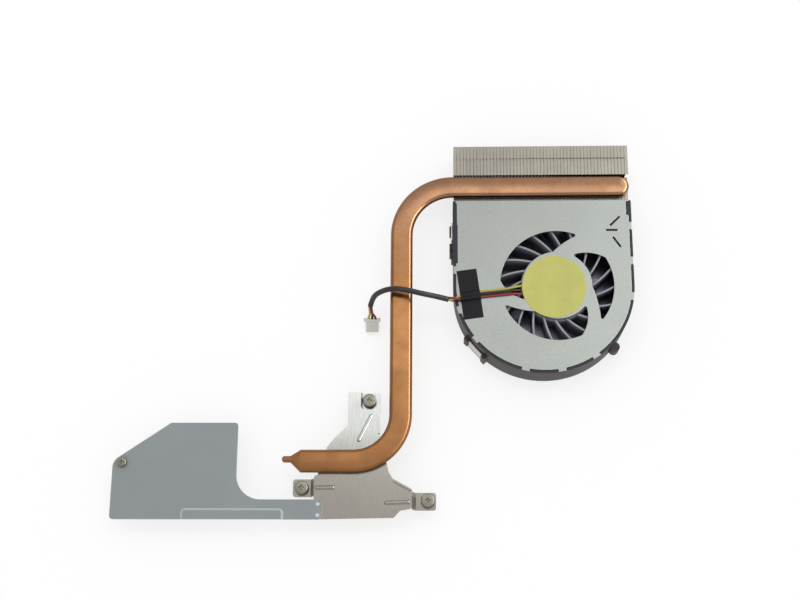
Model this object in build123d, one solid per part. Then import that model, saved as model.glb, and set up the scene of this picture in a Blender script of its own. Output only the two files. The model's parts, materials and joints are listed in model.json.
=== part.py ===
from build123d import *
import os
from math import cos, radians, sin, tan

# Laptop cooling assembly: a blower fan, a fin stack at its outlet, a flattened heat pipe, and the sprung
# bracket that clamps the pipe's other end to a processor. Millimetres, +Z up, lying on its base plate.
# Everything is drawn about the impeller axis and moved to the final origin at the end.

# Fan body
fan_height = 13.0            # table to the top of the cover plate
housing_radius = 31.2        # outside of the housing's round end
housing_x = -4.6             # centre of the round end, from the impeller axis
housing_y = 0.1
outlet_y = 31.0              # outlet plane, from the impeller axis
housing_wall = 1.6
rim_width = 0.9              # lip that stands beside the cover plate
rim_drop = 0.15              # lip's top below the cover plate's top
# Stretches where the lip is wider: side, from and to along Y, and the extra width
wide_lips = [(-1, 8.1, 22.0, 0.6), (-1, 22.0, 30.0, 0.4), (1, 25.6, 30.4, 0.8)]
cover_sheet = 0.6
base_sheet = 0.6
sheet_gap = 0.1              # between a stamped plate and the moulding round it
tongue_gap = 1.4             # cut-off tongue to the impeller's tips
tongue_angle = 48.0
boss_radius = 1.7            # round moulded boss outside the wall
boss_low = 4.0
boss_high = 9.4
boss_angle = -41.5

# Snap clips: tabs bent up from the base plate, one between moulded lugs and one over a moulded snap
clip_width = 6.6
clip_height = 7.2
clip_sheet = 0.5
lug_width = 1.8
lug_height = 8.4
lug_reach = 1.2
round_clip_angle = 221.6
side_clip_y = 21.6
snap_span = (-0.9, 2.7)      # snap along Y, from the side clip's middle
snap_low = 2.6
snap_high = 5.4
side_lug_gap = 1.5           # side clip to the lug below it
side_lug_width = 3.4
side_pad_width = 2.2         # thinner pad below that lug

# Cover plate
hub_disc_radius = 12.05
inlet_radius = 19.6
opening_corner = 0.5
opening_bow_in = 0.5         # leading edge of an opening, bowed into it
opening_bow_out = 1.3        # trailing edge, bowed away from it
# Each opening: angles of its leading edge at hub and rim, then of its trailing edge at hub and rim
inlet_openings = [(95.7, 67.3, 206.0, 175.0), (232.0, 200.5, 323.3, 294.0), (-2.0, -41.5, 63.5, 30.0)]
tab_width = 2.8
round_tab_angles = [-163.0, -140.6, -102.8, -79.5, -55.8, -8.0]
right_tab_heights = [8.7, 21.5]
left_tab_heights = [5.5]
slot_width = 0.7
cover_slots = [((19.15, 21.75), (22.2, 24.7)), ((17.8, 19.9), (21.15, 19.9)), ((20.0, 17.1), (22.2, 13.9))]
notch_reach = 10.6           # inner end of the lead notch in the hub disc
notch_low = -4.8
notch_high = 1.1

# Impeller and motor
impeller_radius = 24.0
impeller_gap = 0.8           # blades to the cover and base plates
blade_count = 19
blade_sheet = 0.7
blade_sweep = 25.0           # degrees from root to tip
blade_bow = 0.7
hub_radius = 12.4
hub_wall = 1.0
hub_cap = 1.0
hub_inset = 0.4              # hub ends inside the blades' ends
yoke_sheet = 0.6
magnet_thickness = 1.2
magnet_height = 5.8
running_gap = 0.3            # between the turning and the still motor pieces
press_gap = 0.02             # between pieces pressed or glued together
shaft_radius = 1.0
bearing_play = 0.03
bearing_wall = 1.5
tube_wall = 0.9
tube_cap = 0.2
thrust_pad_height = 0.6
core_height = 4.2
core_ring = 1.6
tooth_count = 6
tooth_width = 1.6
shoe_width = 4.0
shoe_depth = 0.8
coil_wall = 0.8
coil_gap = 0.4               # coil to the core's ring and to the pole shoe
board_sheet = 0.8
board_radius = 8.9
label_radius = 11.1
label_sheet = 0.12
label_x = -1.0
label_y = -0.6

# Leads, tape, cable and connector
lead_diameter = 0.85
lead_gap = 0.1               # lead to the cover plate
sleeve_diameter = 1.9
tape_length = 17.8
tape_width = 7.1
tape_sheet = 0.15
tape_inset = 5.8             # tape's middle from the housing's left side
tape_y = -3.2
tape_turn = 7.8
tape_ridge = 2.1             # half width of the ridge over the leads
tape_ridge_y = -0.65
tape_ridge_height = 1.9
connector_width = 4.4
connector_depth = 2.4
connector_length = 4.5
connector_lip = 0.7
lip_overhang = 0.7
pole_count = 3
pole_pitch = 1.25
contact_size = 0.7
contact_play = 0.1
latch_window = (1.8, 3.2)    # stretch of the windows beside the contacts
latch_depth = 0.3

# Fin stack
fin_pitch = 1.185
fin_sheet = 0.2
fin_depth = 20.5
fin_bottom = 0.5
fin_inset = 0.35             # stack's ends inside the housing's sides
outlet_gap = 0.1
flange_gap = 0.06            # a fin's flange to the next fin
zipper_width = 0.8
zipper_back = 5.4            # zipper groove from the stack's back face

# Heat pipe
pipe_width = 7.7
pipe_thickness = 3.0
pipe_lip = 1.75              # fin seat left bare in front of the pipe
pipe_gap = 0.2               # pipe to the fins behind it
pipe_end_x = 26.4
pipe_cross_x = -53.75        # the run from the fins to the bracket
sink_bend = 18.0
cpu_bend = 16.0
pipe_taper_x = -87.2
pipe_taper = 3.4
nib_length = 2.9
nib_width = 2.2
nib_thickness = 1.6
nib_shift = 0.6              # nib off the pipe's middle

# Processor bracket, its outline about the processor's centre
cpu_x = -66.0
cpu_y = -60.85
bracket_sheet = 0.8
bracket_left = -16.7
bracket_right = 16.1
bracket_bottom = -19.15
bracket_corner = 0.6
arm_left = -5.7
arm_right = 5.3
arm_top = 23.9
# Edges of the sheet: from the arm down to the right pad, the lower right corner, and up to the arm
right_neck = [(arm_right, 9.6), (8.2, -3.2), (9.6, -5.6)]
foot = [(12.2, -16.2), (10.0, -18.6)]
left_neck = [(-15.6, -4.4), (-12.6, 5.0), (-10.2, 8.0), (arm_left, 12.4)]
pad_drop = 2.5
step_run = 1.3               # length of the slope from the sheet down to a side pad
arm_step_run = 0.45          # the same at the arm's sunk corner
shoulder = 0.8               # sheet beside a slope
pad_corner = 1.0
arm_pad = (6.2, 5.6)
left_pad = (6.0, 5.9)
right_pad = (6.7, 5.9)
left_pad_y = -8.5
right_pad_y = -12.95
hole_shifts = [(-0.7, 0.0), (0.0, 0.0), (0.6, 0.2)]     # screw holes off the middles of the three pads
rib_width = 1.3
rib_height = 0.5
ribs = [((2.2, 15.6), (-1.9, 7.4)), ((-15.8, -8.7), (-10.4, -8.6)), ((7.5, -13.7), (14.9, -13.4))]
lip_height = 0.9
edge_lips = [((4.9, 9.9), (4.9, 16.4)), ((10.0, -6.3), (15.5, -9.3))]
edge_lip_sheet = 0.7
window_length = 12.0
window_width = 4.6
window_x = -3.5
contact_length = 15.0
contact_width = 15.0
contact_sheet = 1.6
contact_y = -1.0

# Extension plate, clinched on the bracket
plate_sheet = 0.7
plate_width = 42.1
plate_height = 32.55
plate_drop = 0.15            # plate's lower edge below the bracket's
plate_arm_width = 6.65
plate_arm_length = 29.0
plate_overlap = 2.9          # arm's end past the bracket's left edge
plate_chamfer = (19.2, 13.0)
plate_corner = 1.2
plate_turn = 8.4             # inner corner between plate and arm
chamfer_round = 4.0
emboss_span = (23.9, 58.3)   # pressed strip along the lower edge, from the plate's left side
emboss_width = 3.7
emboss_height = 0.5
emboss_slope = 0.7           # width of its sloped sides
emboss_corner = 1.5
clinch_radius = 0.6
clinch_boss_radius = 1.1
clinch_depth = 0.35
clinch_pitch = 3.7
clinch_inset = 1.4
plate_screw_inset = (3.35, 13.6)

# Captive screws
screw_radius = 1.0
screw_head_radius = 2.3
plate_head_radius = 1.65     # head of the extension plate's screw
screw_head_height = 1.2
screw_rise = 1.2             # head's underside above its pad
screw_tip = 0.4
screw_hole_radius = 1.3
screw_groove = 0.2
plate_screw_rise = 0.3
plate_screw_length = 5.0
retainer_sheet = 0.4
retainer_radius = 2.1
retainer_mouth = 1.4
recess_length = 2.2
recess_width = 0.55
recess_depth = 0.6

# Levels and places that follow from the sizes above
cover_low = fan_height - cover_sheet
blade_low = base_sheet + impeller_gap
blade_high = cover_low - impeller_gap
hub_low = blade_low + hub_inset
hub_high = blade_high - 2 * hub_inset
yoke_radius = hub_radius - hub_wall - press_gap
yoke_low = hub_low + hub_cap
yoke_high = hub_high - hub_inset
magnet_radius = yoke_radius - yoke_sheet - press_gap
magnet_high = yoke_high - hub_inset
magnet_low = magnet_high - magnet_height
tube_radius = shaft_radius + bearing_play + bearing_wall + press_gap + tube_wall
core_radius = magnet_radius - magnet_thickness - running_gap
core_low = (magnet_low + magnet_high - core_height) / 2
tube_low = yoke_low + yoke_sheet + 2 * running_gap
shaft_top = cover_low - tube_cap - thrust_pad_height
board_low = core_low + core_height + coil_wall + press_gap
pipe_low = fan_height - pipe_thickness
fin_front = outlet_y + outlet_gap
sink_y = fin_front + pipe_lip + pipe_width / 2
step_y = sink_y + pipe_width / 2 + pipe_gap
bracket_top = pipe_low
bracket_low = bracket_top - bracket_sheet
pad_top = bracket_top - pad_drop
plate_high = bracket_top + plate_sheet
plate_end = cpu_x + bracket_left + plate_overlap
plate_right = plate_end - plate_arm_length
plate_left = plate_right - plate_width
plate_bottom_y = cpu_y + bracket_bottom - plate_drop
plate_top_y = plate_bottom_y + plate_height
plate_arm_y = plate_bottom_y + plate_arm_width
plate_screw_x = plate_left + plate_screw_inset[0]
plate_screw_y = plate_top_y - plate_screw_inset[1]
tape_x = housing_x - housing_radius + tape_inset
wire_level = fan_height + lead_diameter / 2 + lead_gap

# Cable sleeve from the fan's edge over the heat pipe and down to the connector
cable_route = [
    (-37.5, -5.5, 14.5), (-42.0, -4.6, 15.4), (-46.6, -4.0, 16.7), (-51.2, -2.9, 17.0), (-56.3, -2.1, 16.95),
    (-60.8, -2.3, 13.9), (-63.9, -3.1, 9.3), (-64.8, -5.25, 5.65), (-64.3, -9.3, 3.3),
]
bend_share = 0.45            # part of a straight run that a bend of the cable or of a lead may take up
# Each lead's way over the cover plate, with its lift, where it leaves the hub, and its place in the sleeve
lead_ways = {
    "lead_yellow": [(-14.4, -0.75, 0), (-17.3, -1.55, 0), (-26.5, -2.4, 0), (-33.8, -4.4, 0.8)],
    "lead_black": [(-14.3, -1.95, 0), (-18.2, -2.6, 0), (-26.4, -3.4, 0), (-33.7, -4.95, 0)],
    "lead_red": [(-14.3, -3.15, 0), (-18.4, -3.6, 0), (-26.3, -4.4, 0), (-33.7, -5.5, 0.8)],
}
hub_exits = {"lead_yellow": 0.2, "lead_black": -1.6, "lead_red": -3.1}
sleeve_places = {"lead_yellow": (0.45, 0.27), "lead_black": (0, -0.5), "lead_red": (-0.45, 0.27)}


def slab(face, low, high):
    """A plan outline given its height."""
    return Pos(0, 0, low) * extrude(face, high - low, dir=(0, 0, 1))


def ring(outer, inner, low, high):
    """A round collar about the impeller axis."""
    return slab(Circle(outer) - Circle(inner), low, high)


def block(x, y, low, high):
    """A box between two x values, two y values and two levels."""
    face = Pos(sum(x) / 2, sum(y) / 2) * Rectangle(x[1] - x[0], y[1] - y[0])
    return slab(face, low, high)


def polar(radius, angle):
    return Vector(radius * cos(radians(angle)), radius * sin(radians(angle)))


def bowed(start, end, sag):
    """An arc from start to end that bows to the left of its way by sag."""
    side = (end - start).normalized().rotate(Axis.Z, 90)
    return ThreePointArc(start, (start + end) / 2 + side * sag, end)


def round_arc(radius, start, end):
    """An arc about the impeller axis between two angles."""
    return ThreePointArc(polar(radius, start), polar(radius, (start + end) / 2), polar(radius, end))


def slot_between(start, end, width):
    """A round-ended slot whose end centres are given."""
    start, end = Vector(*start), Vector(*end)
    return SlotCenterPoint((start + end) / 2, end, width)


def bend_radii(points):
    """The largest arc that each corner's two runs allow."""
    corners = [Vector(*point) for point in points]
    radii = []
    for before, corner, after in zip(corners, corners[1:], corners[2:]):
        turn = (corner - before).get_angle(after - corner)
        shorter = min((corner - before).length, (after - corner).length)
        radii.append(bend_share * shorter / tan(radians(turn / 2)))
    return radii


def tube(points, diameter):
    """A round wire along straight runs joined by tangent arcs."""
    path = FilletPolyline(*points, radius=bend_radii(points))
    section = Plane(origin=path @ 0, z_dir=path % 0) * Circle(diameter / 2)
    return sweep(section, path)


# Places on the housing's wall: local +X points outwards, and the outside lies at housing_radius
def on_round(angle):
    return Pos(housing_x, housing_y) * Rot(0, 0, angle)


def on_right(y):
    return Pos(housing_x, y)


def on_left(y):
    return Pos(housing_x, y) * Rot(0, 0, 180)


def tab_places():
    places = [on_round(angle) for angle in round_tab_angles]
    places += [on_right(y) for y in right_tab_heights]
    return places + [on_left(y) for y in left_tab_heights]


def clip_places():
    return [on_round(round_clip_angle), on_left(side_clip_y)]


def volute(inset, top):
    """The fan's plan outline: a round end with two straight sides up to the outlet."""
    radius = housing_radius - inset
    sides = Pos(housing_x, (housing_y + top) / 2) * Rectangle(2 * radius, top - housing_y)
    below = Pos(housing_x, housing_y - radius / 2) * Rectangle(2 * radius, radius)
    return (Pos(housing_x, housing_y) * Circle(radius) & below) + sides


def side_lips(gap):
    """Plan of the lip's wider stretches on the straight sides, with a gap round them."""
    plan = Sketch()
    for side, low, high, extra in wide_lips:
        reach = rim_width + extra + gap
        middle = Pos(housing_x + side * (housing_radius - reach / 2), (low + high) / 2)
        plan += middle * Rectangle(reach, high - low + 2 * gap)
    return plan


def cut_off_tongue():
    """The wedge that splits the air off the impeller beside the outlet."""
    wall_x = housing_x + housing_radius - housing_wall / 2
    nose = polar(impeller_radius + tongue_gap, tongue_angle)
    wedge = make_face(Polyline((wall_x, housing_y), (wall_x, outlet_y), nose, close=True))
    return slab(wedge - Circle(impeller_radius + tongue_gap), base_sheet, cover_low)


def snap(reach, gap):
    """The moulded snap that the side clip hooks over, with a gap round it; reach is from the fan's middle."""
    y = (-snap_span[1] - gap, gap - snap_span[0])
    return on_left(side_clip_y) * block(reach, y, snap_low - gap, snap_high + gap)


def fan_housing():
    past_outlet = outlet_y + housing_wall
    walls = volute(0, outlet_y) - volute(housing_wall, past_outlet)
    body = slab(walls, base_sheet, fan_height - rim_drop)
    body -= slab(volute(rim_width, past_outlet) - side_lips(0), cover_low, fan_height)
    body += cut_off_tongue()
    inside = housing_radius - housing_wall / 2
    boss = Pos(housing_radius + boss_radius / 2) * Circle(boss_radius)
    body += on_round(boss_angle) * slab(boss, boss_low, boss_high) - slab(
        volute(housing_wall, past_outlet), 0, fan_height)
    lug = (inside, housing_radius + lug_reach)
    lug_y = clip_width / 2 + sheet_gap
    for side in (-1, 1):
        y = sorted((side * lug_y, side * (lug_y + lug_width)))
        body += on_round(round_clip_angle) * block(lug, y, base_sheet, lug_height)
    body += snap(lug, 0)
    side_lug = clip_width / 2 + side_lug_gap
    side_pad = side_lug + side_lug_width
    pad = (inside, housing_radius + lug_reach / 2)
    body += on_left(side_clip_y) * block(lug, (side_lug, side_pad), base_sheet, lug_height)
    body += on_left(side_clip_y) * block(pad, (side_pad, side_pad + side_pad_width), base_sheet, lug_height)
    for place in tab_places():
        half = tab_width / 2 + sheet_gap
        reach = (housing_radius - housing_wall, housing_radius + rim_width)
        body -= place * block(reach, (-half, half), cover_low, fan_height)
    return body


def comma_opening(hub_start, rim_start, hub_end, rim_end):
    """One inlet opening, swept back from the hub disc to the inlet circle."""
    edges = Curve() + [
        bowed(polar(inlet_radius, rim_start), polar(hub_disc_radius, hub_start), -opening_bow_in),
        round_arc(hub_disc_radius, hub_start, hub_end),
        bowed(polar(hub_disc_radius, hub_end), polar(inlet_radius, rim_end), opening_bow_out),
        round_arc(inlet_radius, rim_end, rim_start),
    ]
    face = make_face(edges)
    return fillet(face.vertices(), opening_corner)


def fan_cover():
    sheet = volute(rim_width + sheet_gap, outlet_y) - side_lips(sheet_gap)
    for opening in inlet_openings:
        sheet -= comma_opening(*opening)
    for start, end in cover_slots:
        sheet -= slot_between(start, end, slot_width)
    sheet -= Circle(tube_radius - tube_wall / 2)
    cover = slab(sheet, cover_low, fan_height)
    notch = (-hub_disc_radius - opening_corner, -notch_reach)
    cover -= block(notch, (notch_low, notch_high), cover_low, fan_height)
    edge = housing_radius - rim_width - sheet_gap
    half = tab_width / 2
    reach = (edge - tab_width, housing_radius - sheet_gap)
    for place in tab_places():
        cover += place * block(reach, (-half, half), cover_low, fan_height)
    return cover


def base_plate():
    plate = slab(volute(0, outlet_y), 0, base_sheet)
    half = clip_width / 2
    outside = housing_radius + sheet_gap + clip_sheet
    for place in clip_places():
        plate += place * block((housing_radius - clip_width / 2, outside), (-half, half), 0, base_sheet)
        plate += place * block((outside - clip_sheet, outside), (-half, half), 0, clip_height)
    return plate - snap((housing_radius, outside + sheet_gap), sheet_gap)


def impeller():
    root = polar(hub_radius - hub_wall / 2, 0)
    blade = trace(bowed(root, polar(impeller_radius, blade_sweep), -blade_bow), blade_sheet)
    blade = slab(blade, blade_low, blade_high) & slab(Circle(impeller_radius), blade_low, blade_high)
    body = ring(hub_radius, hub_radius - hub_wall, hub_low, hub_high)
    body += ring(hub_radius, shaft_radius + press_gap, hub_low, hub_low + hub_cap)
    body = chamfer(body.edges().group_by(Axis.Z)[0].sort_by(SortBy.RADIUS)[-1:], hub_cap / 2)
    for place in PolarLocations(0, blade_count):
        body += place * blade
    return body


def rotor_yoke():
    cup = ring(yoke_radius, yoke_radius - yoke_sheet, yoke_low, yoke_high)
    return cup + ring(yoke_radius, shaft_radius + press_gap, yoke_low, yoke_low + yoke_sheet)


def ring_magnet():
    return ring(magnet_radius, magnet_radius - magnet_thickness, magnet_low, magnet_high)


def rotor_shaft():
    shaft = slab(Circle(shaft_radius), hub_low, shaft_top)
    return chamfer(shaft.edges().group_by(Axis.Z)[-1], shaft_radius / 2)


def sleeve_bearing():
    inner = shaft_radius + bearing_play
    return ring(inner + bearing_wall, inner, tube_low, shaft_top - running_gap)


def bearing_tube():
    bore = tube_radius - tube_wall
    body = ring(tube_radius, bore, tube_low, cover_low)
    body += slab(Circle(bore), cover_low - tube_cap, cover_low)
    return body + slab(Circle(tube_radius - tube_wall / 2 - press_gap), cover_low - tube_cap, fan_height)


def thrust_pad():
    return slab(Circle(tube_radius - tube_wall - press_gap), shaft_top, cover_low - tube_cap)


def stator_core():
    inner = tube_radius + press_gap
    plan = Circle(inner + core_ring) - Circle(inner)
    for place in PolarLocations(0, tooth_count):
        middle = (inner + core_ring + core_radius - shoe_depth) / 2
        stem = Pos(middle) * Rectangle(core_radius - inner, tooth_width)
        shoe = Pos(core_radius - shoe_depth / 2) * Rectangle(2 * shoe_depth, shoe_width)
        shoe &= Circle(core_radius) - Circle(core_radius - shoe_depth)
        plan += place * ((stem & (Circle(core_radius) - Circle(inner))) + shoe)
    return slab(plan, core_low, core_low + core_height)


def stator_coils():
    start = tube_radius + press_gap + core_ring + coil_gap
    end = core_radius - shoe_depth - coil_gap
    half = tooth_width / 2 + press_gap
    outer = half + coil_wall
    low, high = core_low - press_gap, core_low + core_height + press_gap
    coil = block((start, end), (-outer, outer), low - coil_wall, high + coil_wall)
    coil = chamfer(coil.edges().filter_by(Axis.X), coil_wall / 2)
    coil -= block((start, end), (-half, half), low, high)
    return Compound([place * coil for place in PolarLocations(0, tooth_count)])


def motor_board():
    return ring(board_radius, tube_radius + press_gap, board_low + 2 * press_gap, board_low + board_sheet)


def hub_label():
    return Pos(label_x, label_y) * slab(Circle(label_radius), fan_height, fan_height + label_sheet)


def cable_start():
    """The sleeve's mouth and the direction in which it sets off."""
    mouth = Vector(*cable_route[0])
    return mouth, (Vector(*cable_route[1]) - mouth).normalized()


def lead(way, hub_y, place):
    """A lead from the motor board, out of the hub notch, over the cover and into the sleeve's mouth."""
    mouth, along = cable_start()
    across = Vector(0, 0, 1).cross(along).normalized()
    end = mouth - across * place[0] + along.cross(across) * place[1]
    solder = board_low + board_sheet + lead_diameter / 2 + press_gap
    below_disc = cover_low - lead_diameter / 2 - lead_gap
    points = [
        (lead_diameter - board_radius, hub_y, solder), (-notch_reach - lead_diameter / 2, hub_y, below_disc)]
    points += [(x, y, wire_level + lift) for x, y, lift in way]
    points += [tuple(end - along * lead_diameter * 2), tuple(end)]
    return tube(points, lead_diameter)


def cable_tape():
    """Tape across the leads: flat on the cover, with a ridge where the leads run below it."""
    half, top = tape_length / 2, tape_ridge_height
    run_up = tape_ridge + lead_diameter
    line = FilletPolyline(
        (-half, 0), (tape_ridge_y - run_up, 0), (tape_ridge_y - tape_ridge, top),
        (tape_ridge_y + tape_ridge, top), (tape_ridge_y + run_up, 0), (half, 0), radius=tape_sheet * 2)
    profile = Plane.YZ * (Pos(0, tape_sheet / 2) * trace(line, tape_sheet))
    sheet = extrude(profile, tape_width / 2, both=True)
    return Pos(tape_x, tape_y, fan_height) * Rot(0, 0, tape_turn) * sheet


def connector_plane():
    """The connector's own axes: +Z goes into it from the end of the cable, and in plan it lies along Y."""
    end = Vector(*cable_route[-1])
    run = end - Vector(*cable_route[-2])
    along = Vector(0, run.Y, run.Z)
    return Plane(origin=end, x_dir=along.cross(Vector(0, 0, 1)), z_dir=along)


def fan_cable():
    """The sleeve over the leads, cut off flush with the connector's entry."""
    end = Vector(*cable_route[-1])
    spare = (end - Vector(*cable_route[-2])).normalized() * sleeve_diameter / 2
    cable = tube([*cable_route[:-1], tuple(end + spare)], sleeve_diameter)
    return split(cable, connector_plane(), Keep.BOTTOM)


def pole_places():
    first = -pole_pitch * (pole_count - 1) / 2
    return [Pos(first + pole_pitch * pole) for pole in range(pole_count)]


def connector_housing():
    body = slab(Rectangle(connector_width, connector_depth), 0, connector_length)
    lip = Rectangle(connector_width + 2 * lip_overhang, connector_depth + lip_overhang / 2)
    body += slab(lip, 0, connector_lip)
    hole = contact_size + 2 * contact_play
    windows = Rectangle(hole, connector_depth) - Rectangle(hole, connector_depth - 2 * latch_depth)
    for place in pole_places():
        body -= place * slab(Rectangle(hole, hole), connector_lip, connector_length)
        body -= place * slab(windows, *latch_window)
    return connector_plane() * body


def connector_contacts():
    contact = slab(Rectangle(contact_size, contact_size), connector_lip, connector_length - connector_lip)
    return connector_plane() * Compound([place * contact for place in pole_places()])


def fin_stack():
    """Folded fins: each has a web with flanges that reach the next fin's web."""
    back = fin_front + fin_depth
    left = housing_x - housing_radius + fin_inset
    count = int((2 * (housing_radius - fin_inset)) / fin_pitch)
    flange = (0, fin_pitch - flange_gap)
    fin = block((0, fin_sheet), (fin_front, back), fin_bottom, pipe_low)
    fin += block((0, fin_sheet), (step_y, back), fin_bottom, fan_height)
    fin += block(flange, (fin_front, back), fin_bottom, fin_bottom + fin_sheet)
    fin += block(flange, (fin_front, step_y), pipe_low - fin_sheet, pipe_low)
    top = block(flange, (step_y, back), fan_height - fin_sheet, fan_height)
    groove = (back - zipper_back, back - zipper_back + zipper_width)
    fin += top - block((fin_sheet, fin_pitch), groove, pipe_low, fan_height)
    return Compound([Pos(left + fin_pitch * index) * fin for index in range(count)])


def heat_pipe():
    """A round tube bent in plan and pressed flat, with a rounded end and a pinched filling tip."""
    middle = pipe_low + pipe_thickness / 2
    first = Vector(pipe_end_x - pipe_width / 2, sink_y, middle)
    last = Vector(pipe_taper_x, cpu_y, middle)
    path = FilletPolyline(
        first, (pipe_cross_x, sink_y, middle), (pipe_cross_x, cpu_y, middle), last,
        radius=[sink_bend, cpu_bend])
    oval = SlotOverall(pipe_width, pipe_thickness)
    pipe = sweep(Plane(origin=first, x_dir=(0, 1, 0), z_dir=(-1, 0, 0)) * oval, path)
    half = Plane(origin=first, x_dir=(0, 1, 0), z_dir=(-1, 0, 0)) * (
        oval & Pos(pipe_width / 2) * Rectangle(pipe_width, pipe_width))
    pipe += revolve(half, Axis(first, (0, 0, -1)), 180)
    ends = Plane(origin=last, x_dir=(0, -1, 0), z_dir=(-1, 0, 0))
    tip = SlotOverall(nib_width, nib_thickness)
    nib = ends * Pos(-nib_shift, 0, pipe_taper)
    pipe += loft([ends * oval, nib * tip])
    pipe += nib * extrude(tip, nib_length)
    return pipe


def pad_middles():
    """Middles of the arm's, the left and the right screw pad, about the processor's centre."""
    return [
        (arm_right - arm_pad[0] / 2, arm_top - arm_pad[1] / 2),
        (bracket_left - step_run - left_pad[0] / 2, left_pad_y),
        (bracket_right + step_run + right_pad[0] / 2, right_pad_y),
    ]


def hole_places():
    """Screw holes of the three pads, about the processor's centre."""
    return [Pos(x + shift[0], y + shift[1]) for (x, y), shift in zip(pad_middles(), hole_shifts)]


def bracket_plan():
    """The stamped sheet's outline about the processor's centre."""
    right_low = right_pad_y - right_pad[1] / 2 + shoulder / 2
    right_high = right_pad_y + right_pad[1] / 2 + shoulder
    left_high = left_pad_y + left_pad[1] / 2 + shoulder
    outline = Polyline(
        (arm_left, arm_top), (arm_right, arm_top), *right_neck, (bracket_right, right_high),
        (bracket_right, right_low), *foot, (bracket_left, bracket_bottom), (bracket_left, left_high),
        *left_neck, close=True)
    sheet = make_face(outline)
    return fillet(sheet.vertices(), bracket_corner)


def arm_recess(wall):
    """The space above the arm's sunk corner, which narrows down to the screw pad, grown by a wall."""
    spare = arm_step_run + pad_corner + wall
    ends = []
    for level, run in ((pad_top - wall, wall), (bracket_top, arm_step_run + wall)):
        width, height = arm_pad[0] + run + spare, arm_pad[1] + run + spare
        middle = Pos(arm_right + spare - width / 2, arm_top + spare - height / 2, level)
        ends.append(middle * RectangleRounded(width, height, pad_corner + run))
    return loft(ends)


def tongue(edge, side, y, size):
    """A screw pad that slopes down from the sheet's edge; side is its direction along X."""
    toe = edge + side * step_run
    slope = make_face(Polyline(
        (edge, bracket_top), (toe, pad_top), (toe, pad_top - bracket_sheet), (edge, bracket_low), close=True))
    ramp = extrude(Plane.XZ * slope, size[1] / 2, both=True)
    pad = Pos(toe + side * size[0] / 2) * Rectangle(*size)
    pad = fillet(pad.vertices().sort_by(Axis.X)[::side][-2:], pad_corner)
    return Pos(0, y) * (ramp + slab(pad, pad_top - bracket_sheet, pad_top))


def cpu_bracket():
    plan = bracket_plan()
    body = slab(plan, bracket_low, bracket_top)
    body += arm_recess(bracket_sheet) & slab(plan, pad_top - bracket_sheet, bracket_top)
    body -= arm_recess(0)
    body += tongue(bracket_left, -1, left_pad_y, left_pad)
    body += tongue(bracket_right, 1, right_pad_y, right_pad)
    for place in hole_places():
        body -= place * slab(Circle(screw_hole_radius), pad_top - bracket_sheet, pad_top)
    for start, end in ribs:
        bead = slab(slot_between(start, end, rib_width), bracket_low, bracket_top + rib_height)
        body += chamfer(bead.edges().group_by(Axis.Z)[-1], rib_height / 2)
        body -= slab(slot_between(start, end, rib_width / 2), bracket_low, bracket_low + rib_height)
    for start, end in edge_lips:
        body += slab(slot_between(start, end, edge_lip_sheet), bracket_low, bracket_top + lip_height)
    window = Pos(window_x) * RectangleRounded(window_length, window_width, bracket_corner)
    body -= slab(window, bracket_low, bracket_top)
    body = Pos(cpu_x, cpu_y) * body
    for place in clinch_places():
        body += place * slab(Circle(clinch_boss_radius), bracket_low - clinch_depth, bracket_low)
    return body


def cpu_contact_plate():
    """Copper block under the bracket, with a boss through its window that meets the pipe."""
    plan = Pos(window_x, contact_y) * RectangleRounded(contact_length, contact_width, bracket_corner)
    body = slab(plan, bracket_low - contact_sheet, bracket_low)
    boss = Pos(window_x) * RectangleRounded(
        window_length - 2 * sheet_gap, window_width - 2 * sheet_gap, bracket_corner - sheet_gap)
    return Pos(cpu_x, cpu_y) * (body + slab(boss, bracket_low, bracket_top))


def clinch_places():
    middle = (plate_arm_y + plate_bottom_y) / 2
    return [Pos(plate_end - clinch_inset, middle + side * clinch_pitch / 2) for side in (-1, 1)]


def pressed_strip():
    """The strip pressed up from the plate: sloped sides, round corners, open at the plate's lower edge."""
    x = (plate_left + emboss_span[0], plate_left + emboss_span[1])
    y = (plate_bottom_y, plate_bottom_y + emboss_width)
    high = plate_high + emboss_height
    ends = []
    for level, run in ((plate_high, 0), (high, emboss_slope)):
        width, height = x[1] - x[0] - 2 * run, 2 * (emboss_width - run)
        outline = RectangleRounded(width, height, emboss_corner - run)
        ends.append(Pos(sum(x) / 2, plate_bottom_y, level) * outline)
    return loft(ends) & block(x, y, plate_high, high)


def extension_plate():
    corner, turn = plate_corner, plate_turn
    outline = FilletPolyline(
        (plate_left, plate_bottom_y), (plate_end, plate_bottom_y), (plate_end, plate_arm_y),
        (plate_right, plate_arm_y), (plate_right, plate_top_y), (plate_left + plate_chamfer[0], plate_top_y),
        (plate_left, plate_top_y - plate_chamfer[1]),
        radius=[corner, corner, corner, turn, corner, corner, chamfer_round], close=True)
    plate = slab(make_face(outline), bracket_top, plate_high)
    plate += pressed_strip()
    inside_x = (plate_left + emboss_span[0] + plate_sheet, plate_left + emboss_span[1] - plate_sheet)
    inside_y = (plate_bottom_y, plate_bottom_y + emboss_width - plate_sheet)
    plate -= block(inside_x, inside_y, bracket_top, bracket_top + emboss_height)
    for place in clinch_places():
        plate -= place * slab(Circle(clinch_radius), plate_high - clinch_depth, plate_high)
    hole = Pos(plate_screw_x, plate_screw_y) * Circle(screw_hole_radius)
    return plate - slab(hole, bracket_top, plate_high)


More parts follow.
